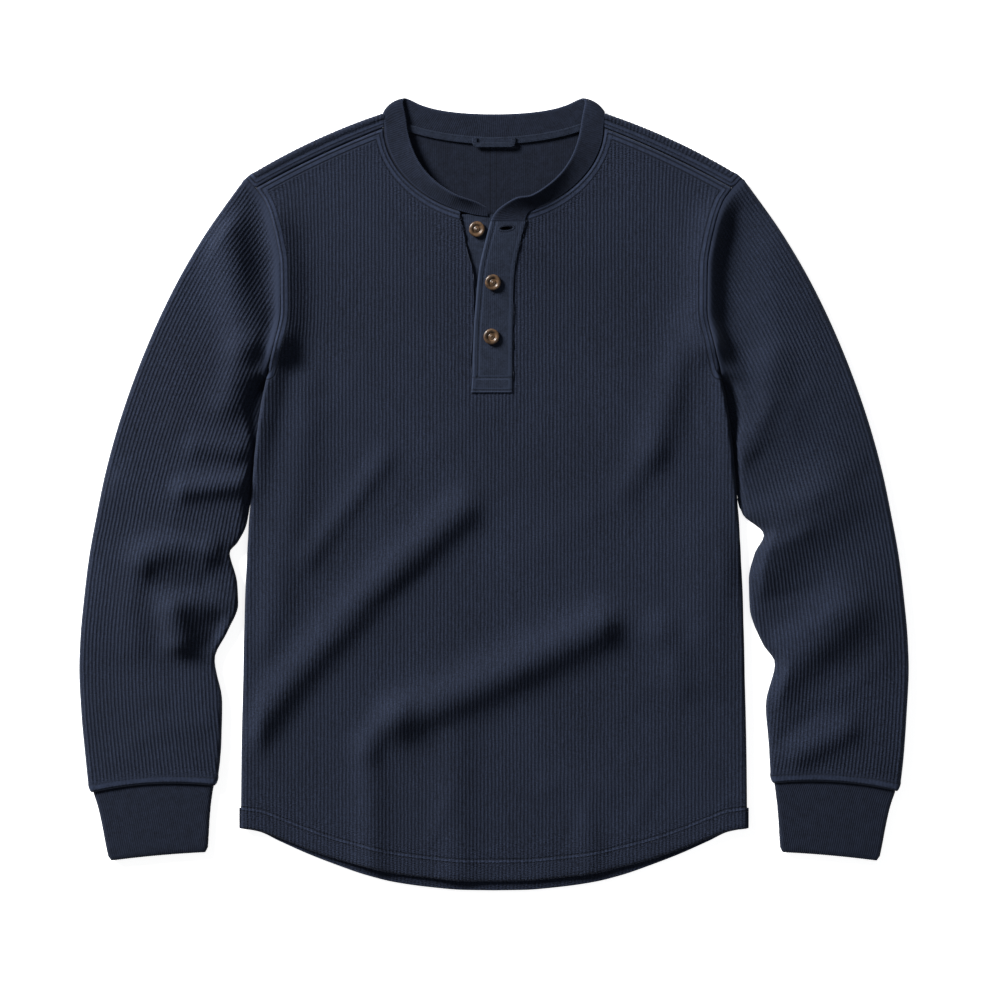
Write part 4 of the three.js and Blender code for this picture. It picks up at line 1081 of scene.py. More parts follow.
def rounded_steps(width, roll, inner):
    """Places across a strip with a rounded roll at both edges, and the share of its full thickness there"""
    angles = np.radians([0, 30, 60, 90])
    edge = roll * (1 - np.cos(angles))
    height = np.sin(angles)
    places = np.concatenate([edge, np.linspace(roll, width - roll, inner + 2)[1:-1], width - edge[::-1]])
    return places, np.concatenate([height, np.ones(inner), height[::-1]])


def closed_strip(name, top, bottom, uv, values, flip=False):
    """A closed piece from a strip's top and bottom grids, which meet at both edges, with its ends filled"""
    grid = np.concatenate([top, bottom[:, ::-1]], axis=1)
    both = {key: np.concatenate([value, value[:, ::-1]], axis=1) for key, value in values.items()}
    ring_uv = np.concatenate([uv, uv[:, ::-1]], axis=1)
    piece = sheet_object(name, grid, ring_uv, both, flip=flip)
    work = bmesh.new()
    work.from_mesh(piece.data)
    bmesh.ops.remove_doubles(work, verts=work.verts, dist=2e-6)
    open_edges = [edge for edge in work.edges if len(edge.link_faces) == 1]
    bmesh.ops.holes_fill(work, edges=open_edges, sides=0)
    bmesh.ops.recalc_face_normals(work, faces=work.faces)
    work.to_mesh(piece.data)
    work.free()
    return piece


def make_neckband(sizes, materials):
    pitch = sizes.fine_rib_pitch / MM
    stations = band_stations()
    shares = np.linspace(0, 1, BAND_STEPS)
    seam = smooth_path([s for s, _ in stations], shares)
    edge = smooth_path([e for _, e in stations], shares)
    width = float(np.median(np.linalg.norm(edge - seam, axis=1)))
    places, thick = rounded_steps(width, BAND_CLOTH / 2, 9)
    q = places / width
    middle = lerp(seam[:, None], edge[:, None], q[None, :, None])
    rise = BAND_TURN * q ** 2 + (1 - BAND_TURN) * q
    middle[..., 2] = lerp(seam[:, None, 2], edge[:, None, 2], rise[None, :])
    # Where it folds over beside the neck, the band bulges up and out
    out = np.abs(edge[:, 0])
    folded = smoothstep((edge[:, 1] - 346) / 12) * smoothstep((out - 66) / 12)
    bulge = BAND_BULGE * folded[:, None] * 4 * q * (1 - q)
    middle[..., 0] += np.sign(edge[:, :1]) * bulge * 0.55
    middle[..., 1] += bulge * 0.83
    half = BAND_CLOTH / 2 * thick + 0.25 * np.sin(np.pi * q) * (thick > 0)
    top, bottom = ribbon(middle, half[None, :, None])
    length = np.concatenate([[0], np.cumsum(np.linalg.norm(np.diff((seam + edge) / 2, axis=0), axis=1))])
    u = np.broadcast_to((length / pitch)[:, None], middle.shape[:2])
    v = np.broadcast_to(places[None, :], middle.shape[:2])
    # From these distances the material paints shade at the band's seam, and highlights beside it and along
    # the free edge
    values = {"relief": np.zeros(u.shape), "seam": v - 0.2, "hem": width - v}
    piece = closed_strip("neckband_rib", top, bottom, np.stack([u, v], axis=-1), values)
    wear(piece, materials["rib"])
    raise_outside(piece)
    place(piece, "rib", "neckband")
    return piece


# The plackets: how far the upper one stands proud, the cloth of both, and the lower one's drop
OVER_PROUD = 1.3
OVER_CLOTH = 2.0
UNDER_CLOTH = 1.8
UNDER_DROP = OVER_CLOTH - OVER_PROUD + 0.3
BOX_ROWS = (1.9, 13.4)
# Slits in the upper placket, the top one standing open
BUTTONHOLES = table("x y length width turn", [
    (11.4, 243.8, 14, 4.2, 6),
    (-0.9, 191.8, 16, 1.4, 92),
    (-2.3, 142.1, 16, 1.4, 90),
])


def placket_strip(name, rows, top_at, thick, steps, lip):
    """A placket's closed strip on the front, with rounded edges and a rolled lip along its free one"""
    y = np.linspace(rows["y"][0], rows["y"][-1], steps)
    left, right = curve(rows, "y", "left")(y), curve(rows, "y", "right")(y)
    width = right - left
    usual = float(np.median(width))
    places, full = rounded_steps(usual, thick / 2, 17)
    q = places / usual
    x = left[:, None] + width[:, None] * q[None, :]
    yy = np.broadcast_to(y[:, None], x.shape)
    base = front_face(x, yy) + top_at - thick / 2
    from_left, from_right = x - left[:, None], right[:, None] - x
    lower = yy - rows["y"][0]
    roll = lip * np.exp(-(((from_left - 1.9) / 1.5) ** 2))
    lines = [np.abs(from_right - 1.9), np.abs(lower - BOX_ROWS[0]), np.abs(lower - BOX_ROWS[1])]
    lines.append(np.where(lower > BOX_ROWS[1], np.abs(from_left - 4.8), np.abs(from_left - 1.9)))
    marks = np.min(lines, axis=0) if lip else np.full(x.shape, 30.0)
    half = thick / 2 * full[None, :]
    crown = (roll - 0.4 * np.exp(-((marks / 0.8) ** 2))) * (full[None, :] > 0.9)
    top = np.stack([x, yy, base + half + crown], axis=-1)
    bottom = np.stack([x, yy, base - half], axis=-1)
    # The distance from the free edge, along which the material paints a highlight; the marks give painted
    # shade at the stitching and highlights beside it
    edge = from_left if lip else np.full(x.shape, 60.0)
    values = {"relief": np.zeros(x.shape), "seam": marks, "hem": edge}
    uv = np.stack([x / 1.9, yy], axis=-1)
    return closed_strip(name, top, bottom, uv, values)


def make_plackets(sizes, materials):
    over = placket_strip("placket_over_cloth", OVER_PLACKET, OVER_PROUD, OVER_CLOTH, 150, 0.75)
    under = placket_strip("placket_under_cloth", UNDER_PLACKET, -UNDER_DROP, UNDER_CLOTH, 80, 0)
    for piece, node in ((over, "placket_over"), (under, "placket_under")):
        wear(piece, materials["placket"])
        raise_outside(piece)
        place(piece, "rib", node)
    cut_buttonholes(over)
    return over, under


def cut_buttonholes(placket):
    """Cuts the three slits with rounded ends"""
    for x, y, length, width, turn in zip(*BUTTONHOLES.values()):
        z = float(front_face(np.array(x), np.array(y))) * MM
        bpy.ops.object.select_all(action="DESELECT")
        bpy.ops.mesh.primitive_cylinder_add(vertices=20, radius=1, depth=0.02, location=(x * MM, y * MM, z))
        cutter = bpy.context.active_object
        cutter.scale = (length * 0.44 * MM, width * 0.42 * MM, 1)
        cutter.rotation_euler = (0, 0, math.radians(turn))
        only(placket)
        cut = placket.modifiers.new("Slit", "BOOLEAN")
        cut.object = cutter
        cut.operation = "DIFFERENCE"
        cut.solver = "EXACT"
        bpy.ops.object.modifier_apply(modifier=cut.name)
        bpy.data.objects.remove(cutter)


TAPE = {"below": 1.2, "above": 5.4, "thick": 1.0, "slope": 0.06, "end_angle": 66}
TAPE_BASE = BAND_LOW + BAND_CLOTH / 2 + 0.3
LOOP_BASE = TAPE_BASE + TAPE["thick"] + TAPE["slope"] * TAPE["above"] + 0.3
LOOP = {"half": 20, "top": 327.4, "bottom": 318.6, "strap": 4.4, "thick": 1.0, "corner": 2.4}


def strip_along(name, line, width, z, thick, materials, node, roll=0.45):
    """A narrow tape that follows a plan line, with rounded edges"""
    line = resampled(line, 1.5)
    along = np.gradient(line, axis=0)
    along /= np.hypot(*along.T)[:, None]
    out = np.stack([-along[:, 1], along[:, 0]], axis=1)
    places, full = rounded_steps(width, roll, 6)
    off = places - width / 2
    plan = line[:, None] + out[:, None] * off[None, :, None]
    height = np.broadcast_to(z(off)[None, :], plan.shape[:2])
    half = thick / 2 * full[None, :]
    top = np.concatenate([plan, (height + half)[..., None]], axis=-1)
    bottom = np.concatenate([plan, (height - half)[..., None]], axis=-1)
    far = np.full(plan.shape[:2], 30.0)
    values = {"relief": far * 0, "seam": far, "hem": far * 2}
    uv = np.stack([plan[..., 0] / 0.8, plan[..., 1]], axis=-1)
    piece = closed_strip(name, top, bottom, uv, values)
    wear(piece, materials["placket"])
    raise_outside(piece)
    place(piece, "rib", node)
    return piece


def back_neck_line(offset, end_angle, count=60):
    """A line beside the back neckline, offset towards the band"""
    angles = np.linspace(-end_angle, end_angle, count)
    x, y = neck_point(BACK_NECK, np.abs(angles))
    line = np.stack([x * np.sign(angles), y], axis=1)
    along = np.gradient(line, axis=0)
    along /= np.hypot(*along.T)[:, None]
    return line + np.stack([-along[:, 1], along[:, 0]], axis=1) * offset


def make_tape_and_loop(sizes, materials):
    middle = (TAPE["above"] - TAPE["below"]) / 2
    width = TAPE["above"] + TAPE["below"]
    line = back_neck_line(middle, TAPE["end_angle"])
    slope = lambda off: TAPE_BASE + TAPE["thick"] / 2 + TAPE["slope"] * np.maximum(0, off + middle)
    tape = strip_along(
        "neck_tape_cloth", line, width, slope, TAPE["thick"], materials, "neck_tape")
    half, strap = LOOP["half"] - LOOP["strap"] / 2, LOOP["strap"]
    low, high, corner = LOOP["bottom"] + strap / 2, LOOP["top"], LOOP["corner"]
    turn = np.radians(np.linspace(0, 90, 7))
    bend = np.stack([-half + corner - corner * np.cos(turn), low + corner - corner * np.sin(turn)], axis=1)
    left = np.vstack([[(-half, high)], bend])
    path = np.vstack([left, left[::-1] * (-1, 1)])
    level = lambda off: np.full(len(off), LOOP_BASE + LOOP["thick"] / 2)
    loop = strip_along(
        "neck_loop_cloth", path, strap, level, LOOP["thick"], materials, "neck_loop")
    return tape, loop


# Buttons: the outline from the middle of the underside round the rim to the middle of the boss, as shares
BUTTON_R = 7.3
BUTTON_H = 3.0
BUTTON_PROFILE = [
    (0, 0), (0.4, 0), (0.68, 0.01), (0.82, 0.05), (0.92, 0.16), (0.975, 0.32), (1, 0.5), (0.99, 0.66),
    (0.955, 0.82), (0.9, 0.93), (0.82, 0.99), (0.74, 1), (0.66, 0.96), (0.6, 0.88), (0.555, 0.76),
    (0.52, 0.62), (0.48, 0.55), (0.42, 0.54), (0.37, 0.58), (0.335, 0.66), (0.29, 0.72), (0.22, 0.74),
    (0.155, 0.75), (0.13, 0.8), (0.1, 0.87), (0.05, 0.9), (0, 0.91),
]
BUTTONS = {
    "button_top": (-15.6, 243.0, "under"),
    "button_middle": (-0.9, 194.3, "over"),
    "button_low": (-2.3, 144.6, "over"),
}


def button_seat(x, y, on):
    """Where a button's underside lies on its placket: its middle and the way it faces, as in the solids"""
    top = OVER_PROUD if on == "over" else -UNDER_DROP

    def face(dx, dy):
        height = float(front_face(np.array(x + dx), np.array(y + dy)))
        return Vector((x + dx, y + dy, height + top))

    across = face(BUTTON_R, 0) - face(-BUTTON_R, 0)
    along = face(0, BUTTON_R) - face(0, -BUTTON_R)
    normal = across.cross(along).normalized()
    foot = 0.72 * BUTTON_R
    turns = [math.radians(30 * i) for i in range(12)]
    rise = max((face(foot * math.cos(t), foot * math.sin(t)) - face(0, 0)).dot(normal) for t in turns)
    return (face(0, 0) + normal * (rise + 0.15)) * MM, normal


def make_buttons(sizes, materials):
    made = []
    for name, (x, y, on) in BUTTONS.items():
        mesh = bpy.data.meshes.new(f"{name}_horn")
        points = [(out * BUTTON_R * MM, 0, up * BUTTON_H * MM) for out, up in BUTTON_PROFILE]
        mesh.from_pydata(points, [(i, i + 1) for i in range(len(points) - 1)], [])
        piece = new_object(f"{name}_horn", mesh)
        only(piece)
        bpy.ops.object.mode_set(mode="EDIT")
        bpy.ops.mesh.select_all(action="SELECT")
        bpy.ops.mesh.spin(steps=64, angle=2 * math.pi, center=(0, 0, 0), axis=(0, 0, 1))
        bpy.ops.mesh.select_all(action="SELECT")
        bpy.ops.mesh.remove_doubles(threshold=1e-6)
        bpy.ops.mesh.normals_make_consistent(inside=False)
        bpy.ops.object.mode_set(mode="OBJECT")
        seat, normal = button_seat(x, y, on)
        turn = Vector((0, 0, 1)).rotation_difference(normal).to_matrix().to_4x4()
        piece.data.transform(Matrix.Translation(seat) @ turn)
        only(piece)
        bpy.ops.object.shade_smooth_by_angle(angle=math.radians(50))
        wear(piece, materials["horn"])
        place(piece, "button", name)
        made.append(piece)
    return made


# Stitching: one short stitch is modelled, and copies are laid along the seams on the finished cloth
STITCH_LIFT = 0.02
# Rows of topstitching, by their distance from a seam, a hem's edge and a cuff's seam
SEAM_ROWS = (3.4, 7.6)
HEM_ROWS = (16.6, 20.4)
CUFF_ROWS = (2.0, 6.6)


def stitch_shape():
    """A stitch: a short strand that dives into the cloth at both ends"""
    bpy.ops.object.select_all(action="DESELECT")
    bpy.ops.mesh.primitive_uv_sphere_add(segments=6, ring_count=4, radius=1)
    strand = bpy.context.active_object
    points = vertex_array(strand.data)
    faces = [tuple(face.vertices) for face in strand.data.polygons]
    bpy.data.objects.remove(strand)
    points = points[:, [2, 0, 1]]
    return points, faces


def tops_of(pieces):
    """A search tree of all these pieces' faces"""
    vertices, faces, base = [], [], 0
    for piece in pieces:
        mesh = piece.data
        vertices.append(vertex_array(mesh))
        faces += [[base + i for i in face.vertices] for face in mesh.polygons]
        base += len(mesh.vertices)
    return BVHTree.FromPolygons(np.vstack(vertices).tolist(), faces)


def laid(tree, line, step, length, thick, below=False):
    """Stitches along a plan line in mm: each one's middle, its run, its normal, its half length and radius"""
    points = resampled(line, step)
    start, way = (0.06, Vector((0, 0, -1))) if not below else (-0.03, Vector((0, 0, 1)))
    found = []
    for a, b in zip(points[:-1], points[1:]):
        middle = (a + b) / 2
        hit = tree.ray_cast(Vector((middle[0] * MM, middle[1] * MM, start)), way)
        if hit[0] is None:
            continue
        spot, normal = hit[0], hit[1]
        if normal.dot(way) > 0:
            normal = -normal
        if abs(normal.z) < 0.3:
            continue
        run = Vector((b[0] - a[0], b[1] - a[1], 0))
        run = (run - normal * run.dot(normal)).normalized()
        found.append((spot, run, normal, length / 2, thick / 2))
    return found


def make_stitch_mesh(name, stitches, materials, shape):
    points, faces = shape
    all_points, all_faces = [], []
    for i, (spot, run, normal, half, radius) in enumerate(stitches):
        side = normal.cross(run)
        frame_of = np.array([run * half, side * radius, normal * radius * 0.8]) * MM
        local = points @ frame_of
        lift = np.array(normal) * STITCH_LIFT * MM
        all_points.append(local + np.array(spot) + lift)
        all_faces += [tuple(i * len(points) + v for v in face) for face in faces]
    mesh = bpy.data.meshes.new(name)
    mesh.from_pydata(np.vstack(all_points).tolist(), [], all_faces)
    mesh.polygons.foreach_set("use_smooth", [True] * len(mesh.polygons))
    piece = new_object(name, mesh)
    wear(piece, materials["thread"])
    place(piece, "rib")
    return piece


def offset_line(line, by):
    """A plan line moved sideways to its left by that much"""
    line = np.asarray(line, float)
    along = np.gradient(line, axis=0)
    along /= np.maximum(np.hypot(*along.T), 1e-9)[:, None]
    return line + np.stack([-along[:, 1], along[:, 0]], axis=1) * by


def make_stitching(sizes, materials):
    step, thick = sizes.stitch_step / MM, sizes.stitch_thickness / MM
    length = step * 0.78
    objects = bpy.data.objects
    cloth = [objects[name] for name in (
        "front_panel", "back_panel", "sleeve_right_knit", "sleeve_left_knit",
        "cuff_right_rib", "cuff_left_rib", "neckband_rib",
        "placket_over_cloth", "placket_under_cloth", "neck_tape_cloth", "neck_loop_cloth",
    )]
    tree = tops_of(cloth)
    shape = stitch_shape()

    def row(line, below=False, step=step, length=length, thick=thick):
        return laid(tree, line, step, length, thick, below)

    # Beside the neckline, the shoulder seams and the armholes
    seams = []
    angles = np.linspace(16, 90, 90)
    neck = np.stack(neck_point(FRONT_NECK, angles), axis=1)
    shoulder = np.stack(forward_seam(np.linspace(0.02, 0.985, 40)), axis=1)
    hole = armhole_line()
    for sign in (-1, 1):
        for by in SEAM_ROWS:
            seams += row(offset_line(neck, -by) * (sign, 1))
            seams += row(offset_line(shoulder, -by) * (sign, 1))
            seams += row(offset_line(hole, by)[1:-2] * (sign, 1))
    made = [make_stitch_mesh("topstitching_seams", seams, materials, shape)]

    # Hems, on the front, and underneath on the back
    hems = []
    out = np.linspace(-HEM_HALF + 4, HEM_HALF - 4, 160)
    for above in HEM_ROWS:
        hems += row(np.stack([out, HEM_Y - front_drop(np.abs(out)) + above], axis=1))
        hems += row(np.stack([out, HEM_Y - back_drop(np.abs(out)) + above], axis=1), below=True)
    made.append(make_stitch_mesh("topstitching_hems", hems, materials, shape))

    # Sleeve ends, above the cuff seams and below
    ends = []
    for rows, sign in SLEEVE_TABLES.values():
        x, y, *_ = sleeve_section(rows, 1.0, np.linspace(0.02, 0.98, 50))
        for by in CUFF_ROWS:
            line = np.stack([x * sign, y + by], axis=1)
            ends += row(line)
            ends += row(line, below=True)
    made.append(make_stitch_mesh("topstitching_cuffs", ends, materials, shape))

    # Placket: down its right edge, round the box at its lower end, and along its free edge
    y = np.linspace(OVER_PLACKET["y"][0] + 1.6, OVER_PLACKET["y"][-1] - 2, 80)
    left, right = curve(OVER_PLACKET, "y", "left"), curve(OVER_PLACKET, "y", "right")
    box_low, box_high = OVER_PLACKET["y"][0] + 1.8, OVER_PLACKET["y"][0] + 13.4
    placket = row(np.stack([right(y) - 1.8, y], axis=1))
    placket += row(np.stack([left(y) + 5.2, y], axis=1)[8:])
    for level in (box_low, box_high):
        placket += row(np.array([(left(level) + 1.8, level), (right(level) - 1.8, level)]))
    placket += row(np.array([(left(box_low) + 1.8, box_low), (left(box_high) + 1.8, box_high)]))
    made.append(make_stitch_mesh("topstitching_placket", placket, materials, shape))

    # Buttonholes: stitches side by side round each slit
    holes = []
    for x, yy, size, width, turn in zip(*BUTTONHOLES.values()):
        t = np.linspace(0, 2 * math.pi, 57)[:-1]
        cos, sin = math.cos(math.radians(turn)), math.sin(math.radians(turn))
        for one in t:
            a, b = (size * 0.44 + 0.9) * math.cos(one), (width * 0.42 + 1.0) * math.sin(one)
            spot = np.array([x + a * cos - b * sin, yy + a * sin + b * cos])
            away = np.array([math.cos(one) * 0.4 * cos - math.sin(one) * sin,
                             math.cos(one) * 0.4 * sin + math.sin(one) * cos])
            holes += laid(tree, np.array([spot - away * 0.5, spot + away * 0.5]), 1.2, 2.1, 0.62)
    # The bars that close the band's two ends, and the tape's two rows
    line = back_neck_line(0, TAPE["end_angle"] - 2)
    for off in (0.4, 3.9):
        holes += row(offset_line(line, off), step=2.4, length=1.8, thick=0.42)
    for x in (-1, 1):
        for level in np.linspace(320.2, 326, 5):
            spot = x * (LOOP["half"] - LOOP["strap"] / 2)
            bar = np.array([(spot - 1.6, level), (spot + 1.6, level)])
            holes += row(bar, step=3.2, length=3.0, thick=0.5)
    made.append(make_stitch_mesh("buttonhole_stitching", holes, materials, shape))
    return made


# Materials
class Board:
    """Adds and joins nodes on one node tree"""

    def __init__(self, tree):
        self.tree = tree

    def node(self, kind, **settings):
        made = self.tree.nodes.new(kind)
        for name, value in settings.items():
            setattr(made, name, value)
        return made

    def join(self, source, socket):
        self.tree.links.new(source, socket)

    def put(self, node, name, value):
        socket = node.inputs[name]
        if isinstance(value, bpy.types.NodeSocket):
            self.join(value, socket)
        else:
            socket.default_value = value

    def math(self, operation, *values):
        made = self.node("ShaderNodeMath", operation=operation)
        for i, value in enumerate(values):
            self.put(made, i, value)
        return made.outputs[0]

    def smooth(self, value, low, high, start=0.0, end=1.0):
        made = self.node("ShaderNodeMapRange", interpolation_type="SMOOTHSTEP")
        names = ("Value", "From Min", "From Max", "To Min", "To Max")
        for name, each in zip(names, (value, low, high, start, end)):
            self.put(made, name, each)
        return made.outputs["Result"]

    def mix(self, share, a, b, blend="MIX"):
        made = self.node("ShaderNodeMix", data_type="RGBA", blend_type=blend)
        sockets = [s for s in made.inputs if s.enabled]
        for socket, value in zip(sockets, (share, a, b)):
            if isinstance(value, bpy.types.NodeSocket):
                self.join(value, socket)
            else:
                socket.default_value = value
        return next(s for s in made.outputs if s.enabled)

    def noise(self, place, scale, detail=2.0, rough=0.5):
        made = self.node("ShaderNodeTexNoise")
        self.put(made, "Vector", place)
        self.put(made, "Scale", scale)
        self.put(made, "Detail", detail)
        self.put(made, "Roughness", rough)
        return made.outputs["Fac"]

    def attribute(self, name):
        return self.node("ShaderNodeAttribute", attribute_name=name).outputs["Fac"]

    def line(self, distance, at, width):
        """A soft line where a distance is near a value"""
        away = self.math("ABSOLUTE", self.math("SUBTRACT", distance, at))
        return self.smooth(away, width * 0.25, width, 1.0, 0.0)


def group(name, ins, outs):
    """A new node group with float or colour sockets: its board, its inputs and its output node"""
    tree = bpy.data.node_groups.new(name, "ShaderNodeTree")
    for label, kind, value in ins:
        socket = tree.interface.new_socket(label, in_out="INPUT", socket_type=kind)
        socket.default_value = value
    for label, kind in outs:
        tree.interface.new_socket(label, in_out="OUTPUT", socket_type=kind)
    board = Board(tree)
    return board, board.node("NodeGroupInput").outputs, board.node("NodeGroupOutput").inputs


FLOAT, COLOUR = "NodeSocketFloat", "NodeSocketColor"
# Two dark lines painted down the middle of the back, seen inside the neck, by their distance across in mm
BACK_DARK_LINES = (-3.4, 2.0)
GREY = (0.5, 0.5, 0.5, 1)


def waffle_group():
    """Waffle knit: upright ribs with small bars across the valleys between them. Its colour follows their
    height, so the valleys are painted darker than the ribs' tops as shade.
    """
    ins = [("Ridge", COLOUR, GREY), ("Shaded valley", COLOUR, GREY)]
    ins += [("Bar height", FLOAT, 0.5), ("Bar length", FLOAT, 2.1)]
    board, given, out = group("Waffle knit", ins, [("Colour", COLOUR), ("Height", FLOAT)])
    uv = board.node("ShaderNodeUVMap", uv_map="UVMap").outputs["UV"]
    split = board.node("ShaderNodeSeparateXYZ")
    board.join(uv, split.inputs[0])
    u, v = split.outputs["X"], split.outputs["Y"]
    place_at = board.node("ShaderNodeTexCoord").outputs["Object"]
    drift = board.smooth(board.noise(place_at, 110, 2), 0.25, 0.75, -0.13, 0.13)
    wave = board.math("COSINE", board.math("MULTIPLY", board.math("ADD", u, drift), 2 * math.pi))
    ridge = board.math("POWER", board.math("MULTIPLY_ADD", wave, 0.5, 0.5), 1.25)
    odd = board.math("MODULO", board.math("FLOOR", board.math("ADD", u, 4000.5)), 2.0)
    turns = board.math("ADD", board.math("DIVIDE", v, given["Bar length"]), board.math("MULTIPLY", odd, 0.5))
    turns = board.math("ADD", turns, board.smooth(board.noise(place_at, 210, 2), 0.25, 0.75, -0.35, 0.35))
    bar = board.math("COSINE", board.math("MULTIPLY", turns, 2 * math.pi))
    bar = board.math("MULTIPLY_ADD", bar, 0.5, 0.5)
    in_valley = board.math("SUBTRACT", 1.0, ridge)
    bars = board.math("MULTIPLY", board.math("MULTIPLY", bar, in_valley), given["Bar height"])
    beads = board.math("MULTIPLY", board.math("MULTIPLY", bar, ridge), 0.35)
    height = board.math("ADD", board.math("ADD", board.math("MULTIPLY", ridge, 0.65), bars), beads)
    yarn = board.noise(place_at, 780, 3, 0.7)
    broad = board.noise(place_at, 9, 3, 0.55)
    patchy = board.smooth(board.noise(place_at, 60, 4, 0.65), 0.35, 0.65, 0.3, 1.0)
    shown = board.math("ADD", board.math("MULTIPLY", board.math("SUBTRACT", height, 0.45), patchy), 0.45)
    # Painted shade: the colour runs from the valleys' colour to the ridges' with the knit's height, so the
    # valleys come out darker
    colour = board.mix(board.smooth(shown, 0.05, 0.95), given["Shaded valley"], given["Ridge"])
    fuzz = board.smooth(yarn, 0.3, 0.7, 0.4, 1.5)
    tone = board.math("ADD", fuzz, board.smooth(broad, 0.3, 0.7, -0.09, 0.06))
    tint = board.node("ShaderNodeCombineColor")
    for name in ("Red", "Green", "Blue"):
        board.join(tone, tint.inputs[name])
    board.join(board.mix(1.0, colour, tint.outputs[0], "MULTIPLY"), out["Colour"])
    board.join(board.math("ADD", height, board.math("MULTIPLY", yarn, 0.35)), out["Height"])
    return board.tree


def seam_group():
    """Marks of topstitching, by the distance to a seam and above a hem: dark lines at the stitching, painted
    shade in its grooves that the same mask also sinks, and lighter lines on the raised cloth beside it,
    painted highlights
    """
    outs = [("Groove", FLOAT), ("Painted highlight", FLOAT)]
    board, given, out = group("Seam marks", [("Strength", FLOAT, 1.0)], outs)
    seam, hem = board.attribute("seam"), board.attribute("hem")
    # Painted shade: dark lines at the stitch rows, along the seam and at the hem's rows
    groove = board.math("MAXIMUM", board.line(seam, SEAM_ROWS[0], 0.9), board.line(seam, SEAM_ROWS[1], 0.9))
    groove = board.math("MAXIMUM", groove, board.line(seam, 0.0, 1.0))
    groove = board.math("MAXIMUM", groove, board.line(hem, HEM_ROWS[0], 0.9))
    groove = board.math("MAXIMUM", groove, board.line(hem, HEM_ROWS[1], 0.9))
    # Painted highlights: lighter lines on the raised cloth between the seam and its stitch rows, between the
    # hem's rows and at the hem's fold, made patchy below
    painted_highlight = board.math("MAXIMUM", board.line(seam, 1.7, 1.2), board.line(seam, 5.4, 1.8))
    painted_highlight = board.math("MAXIMUM", painted_highlight, board.line(hem, 18.5, 1.5))
    painted_highlight = board.math("MAXIMUM", painted_highlight, board.line(hem, 1.0, 1.6))
    place_at = board.node("ShaderNodeTexCoord").outputs["Object"]
    patchy = board.smooth(board.noise(place_at, 260, 4, 0.65), 0.36, 0.62, 0.15, 1.0)
    board.join(board.math("MULTIPLY", groove, given["Strength"]), out["Groove"])
    board.join(board.math("MULTIPLY", board.math("MULTIPLY", painted_highlight, patchy), given["Strength"]), out["Painted highlight"])
    return board.tree


def fine_rib_group():
    """Fine rib knit, whose lines run across a band or up a cuff, toned lighter on the ribs and darker between
    them as painted shade
    """
    ins = [("Colour", COLOUR, GREY), ("Depth", FLOAT, 0.3), ("Ribs", FLOAT, 1.0)]
    board, given, out = group("Fine rib", ins, [("Colour", COLOUR), ("Height", FLOAT)])
    uv = board.node("ShaderNodeUVMap", uv_map="UVMap").outputs["UV"]
    split = board.node("ShaderNodeSeparateXYZ")
    board.join(uv, split.inputs[0])
    turns = board.math("MULTIPLY", split.outputs["X"], given["Ribs"])
    wave = board.math("COSINE", board.math("MULTIPLY", turns, 2 * math.pi))
    ridge = board.math("MULTIPLY_ADD", wave, 0.5, 0.5)
    rows = board.math("COSINE", board.math("MULTIPLY", split.outputs["Y"], 2 * math.pi / 1.1))
    place_at = board.node("ShaderNodeTexCoord").outputs["Object"]
    yarn = board.noise(place_at, 1000, 3, 0.65)
    broad = board.noise(place_at, 130, 5, 0.72)
    height = board.math("ADD", ridge, board.math("MULTIPLY", rows, 0.12))
    # Painted shade: the tone is lighter on the ribs' tops and darker between them
    shade = board.math("MULTIPLY", board.math("SUBTRACT", ridge, 0.5), given["Depth"])
    tone = board.math("ADD", board.smooth(yarn, 0.3, 0.7, 0.8, 1.2), shade)
    patches = board.noise(place_at, 420, 4, 0.7)
    tone = board.math("ADD", tone, board.smooth(patches, 0.32, 0.68, -0.17, 0.17))
    tone = board.math("ADD", tone, board.smooth(broad, 0.34, 0.66, -0.17, 0.17))
    tint = board.node("ShaderNodeCombineColor")
    for name in ("Red", "Green", "Blue"):
        board.join(tone, tint.inputs[name])
    board.join(board.mix(1.0, given["Colour"], tint.outputs[0], "MULTIPLY"), out["Colour"])
    board.join(board.math("ADD", height, board.math("MULTIPLY", yarn, 0.6)), out["Height"])
    return board.tree


def new_material(name):
    material = bpy.data.materials.new(name)
    material.use_nodes = True
    board = Board(material.node_tree)
    shader = next(n for n in board.tree.nodes if n.type == "BSDF_PRINCIPLED")
    return material, board, shader


def cotton(board, shader, colour, height, depth, rough=0.95, sheen=0.06):
    """A matt cotton finish from a colour and a height"""
    bump = board.node("ShaderNodeBump")
    bump.inputs["Strength"].default_value = 1.0
    bump.inputs["Distance"].default_value = depth * MM
    board.join(height, bump.inputs["Height"])
    board.join(bump.outputs["Normal"], shader.inputs["Normal"])
    board.join(colour, shader.inputs["Base Color"])
    shader.inputs["Roughness"].default_value = rough
    shader.inputs["Specular IOR Level"].default_value = 0.15
    shader.inputs["Sheen Weight"].default_value = sheen
    shader.inputs["Sheen Roughness"].default_value = 0.5
    shader.inputs["Sheen Tint"].default_value = (0.55, 0.62, 0.8, 1)


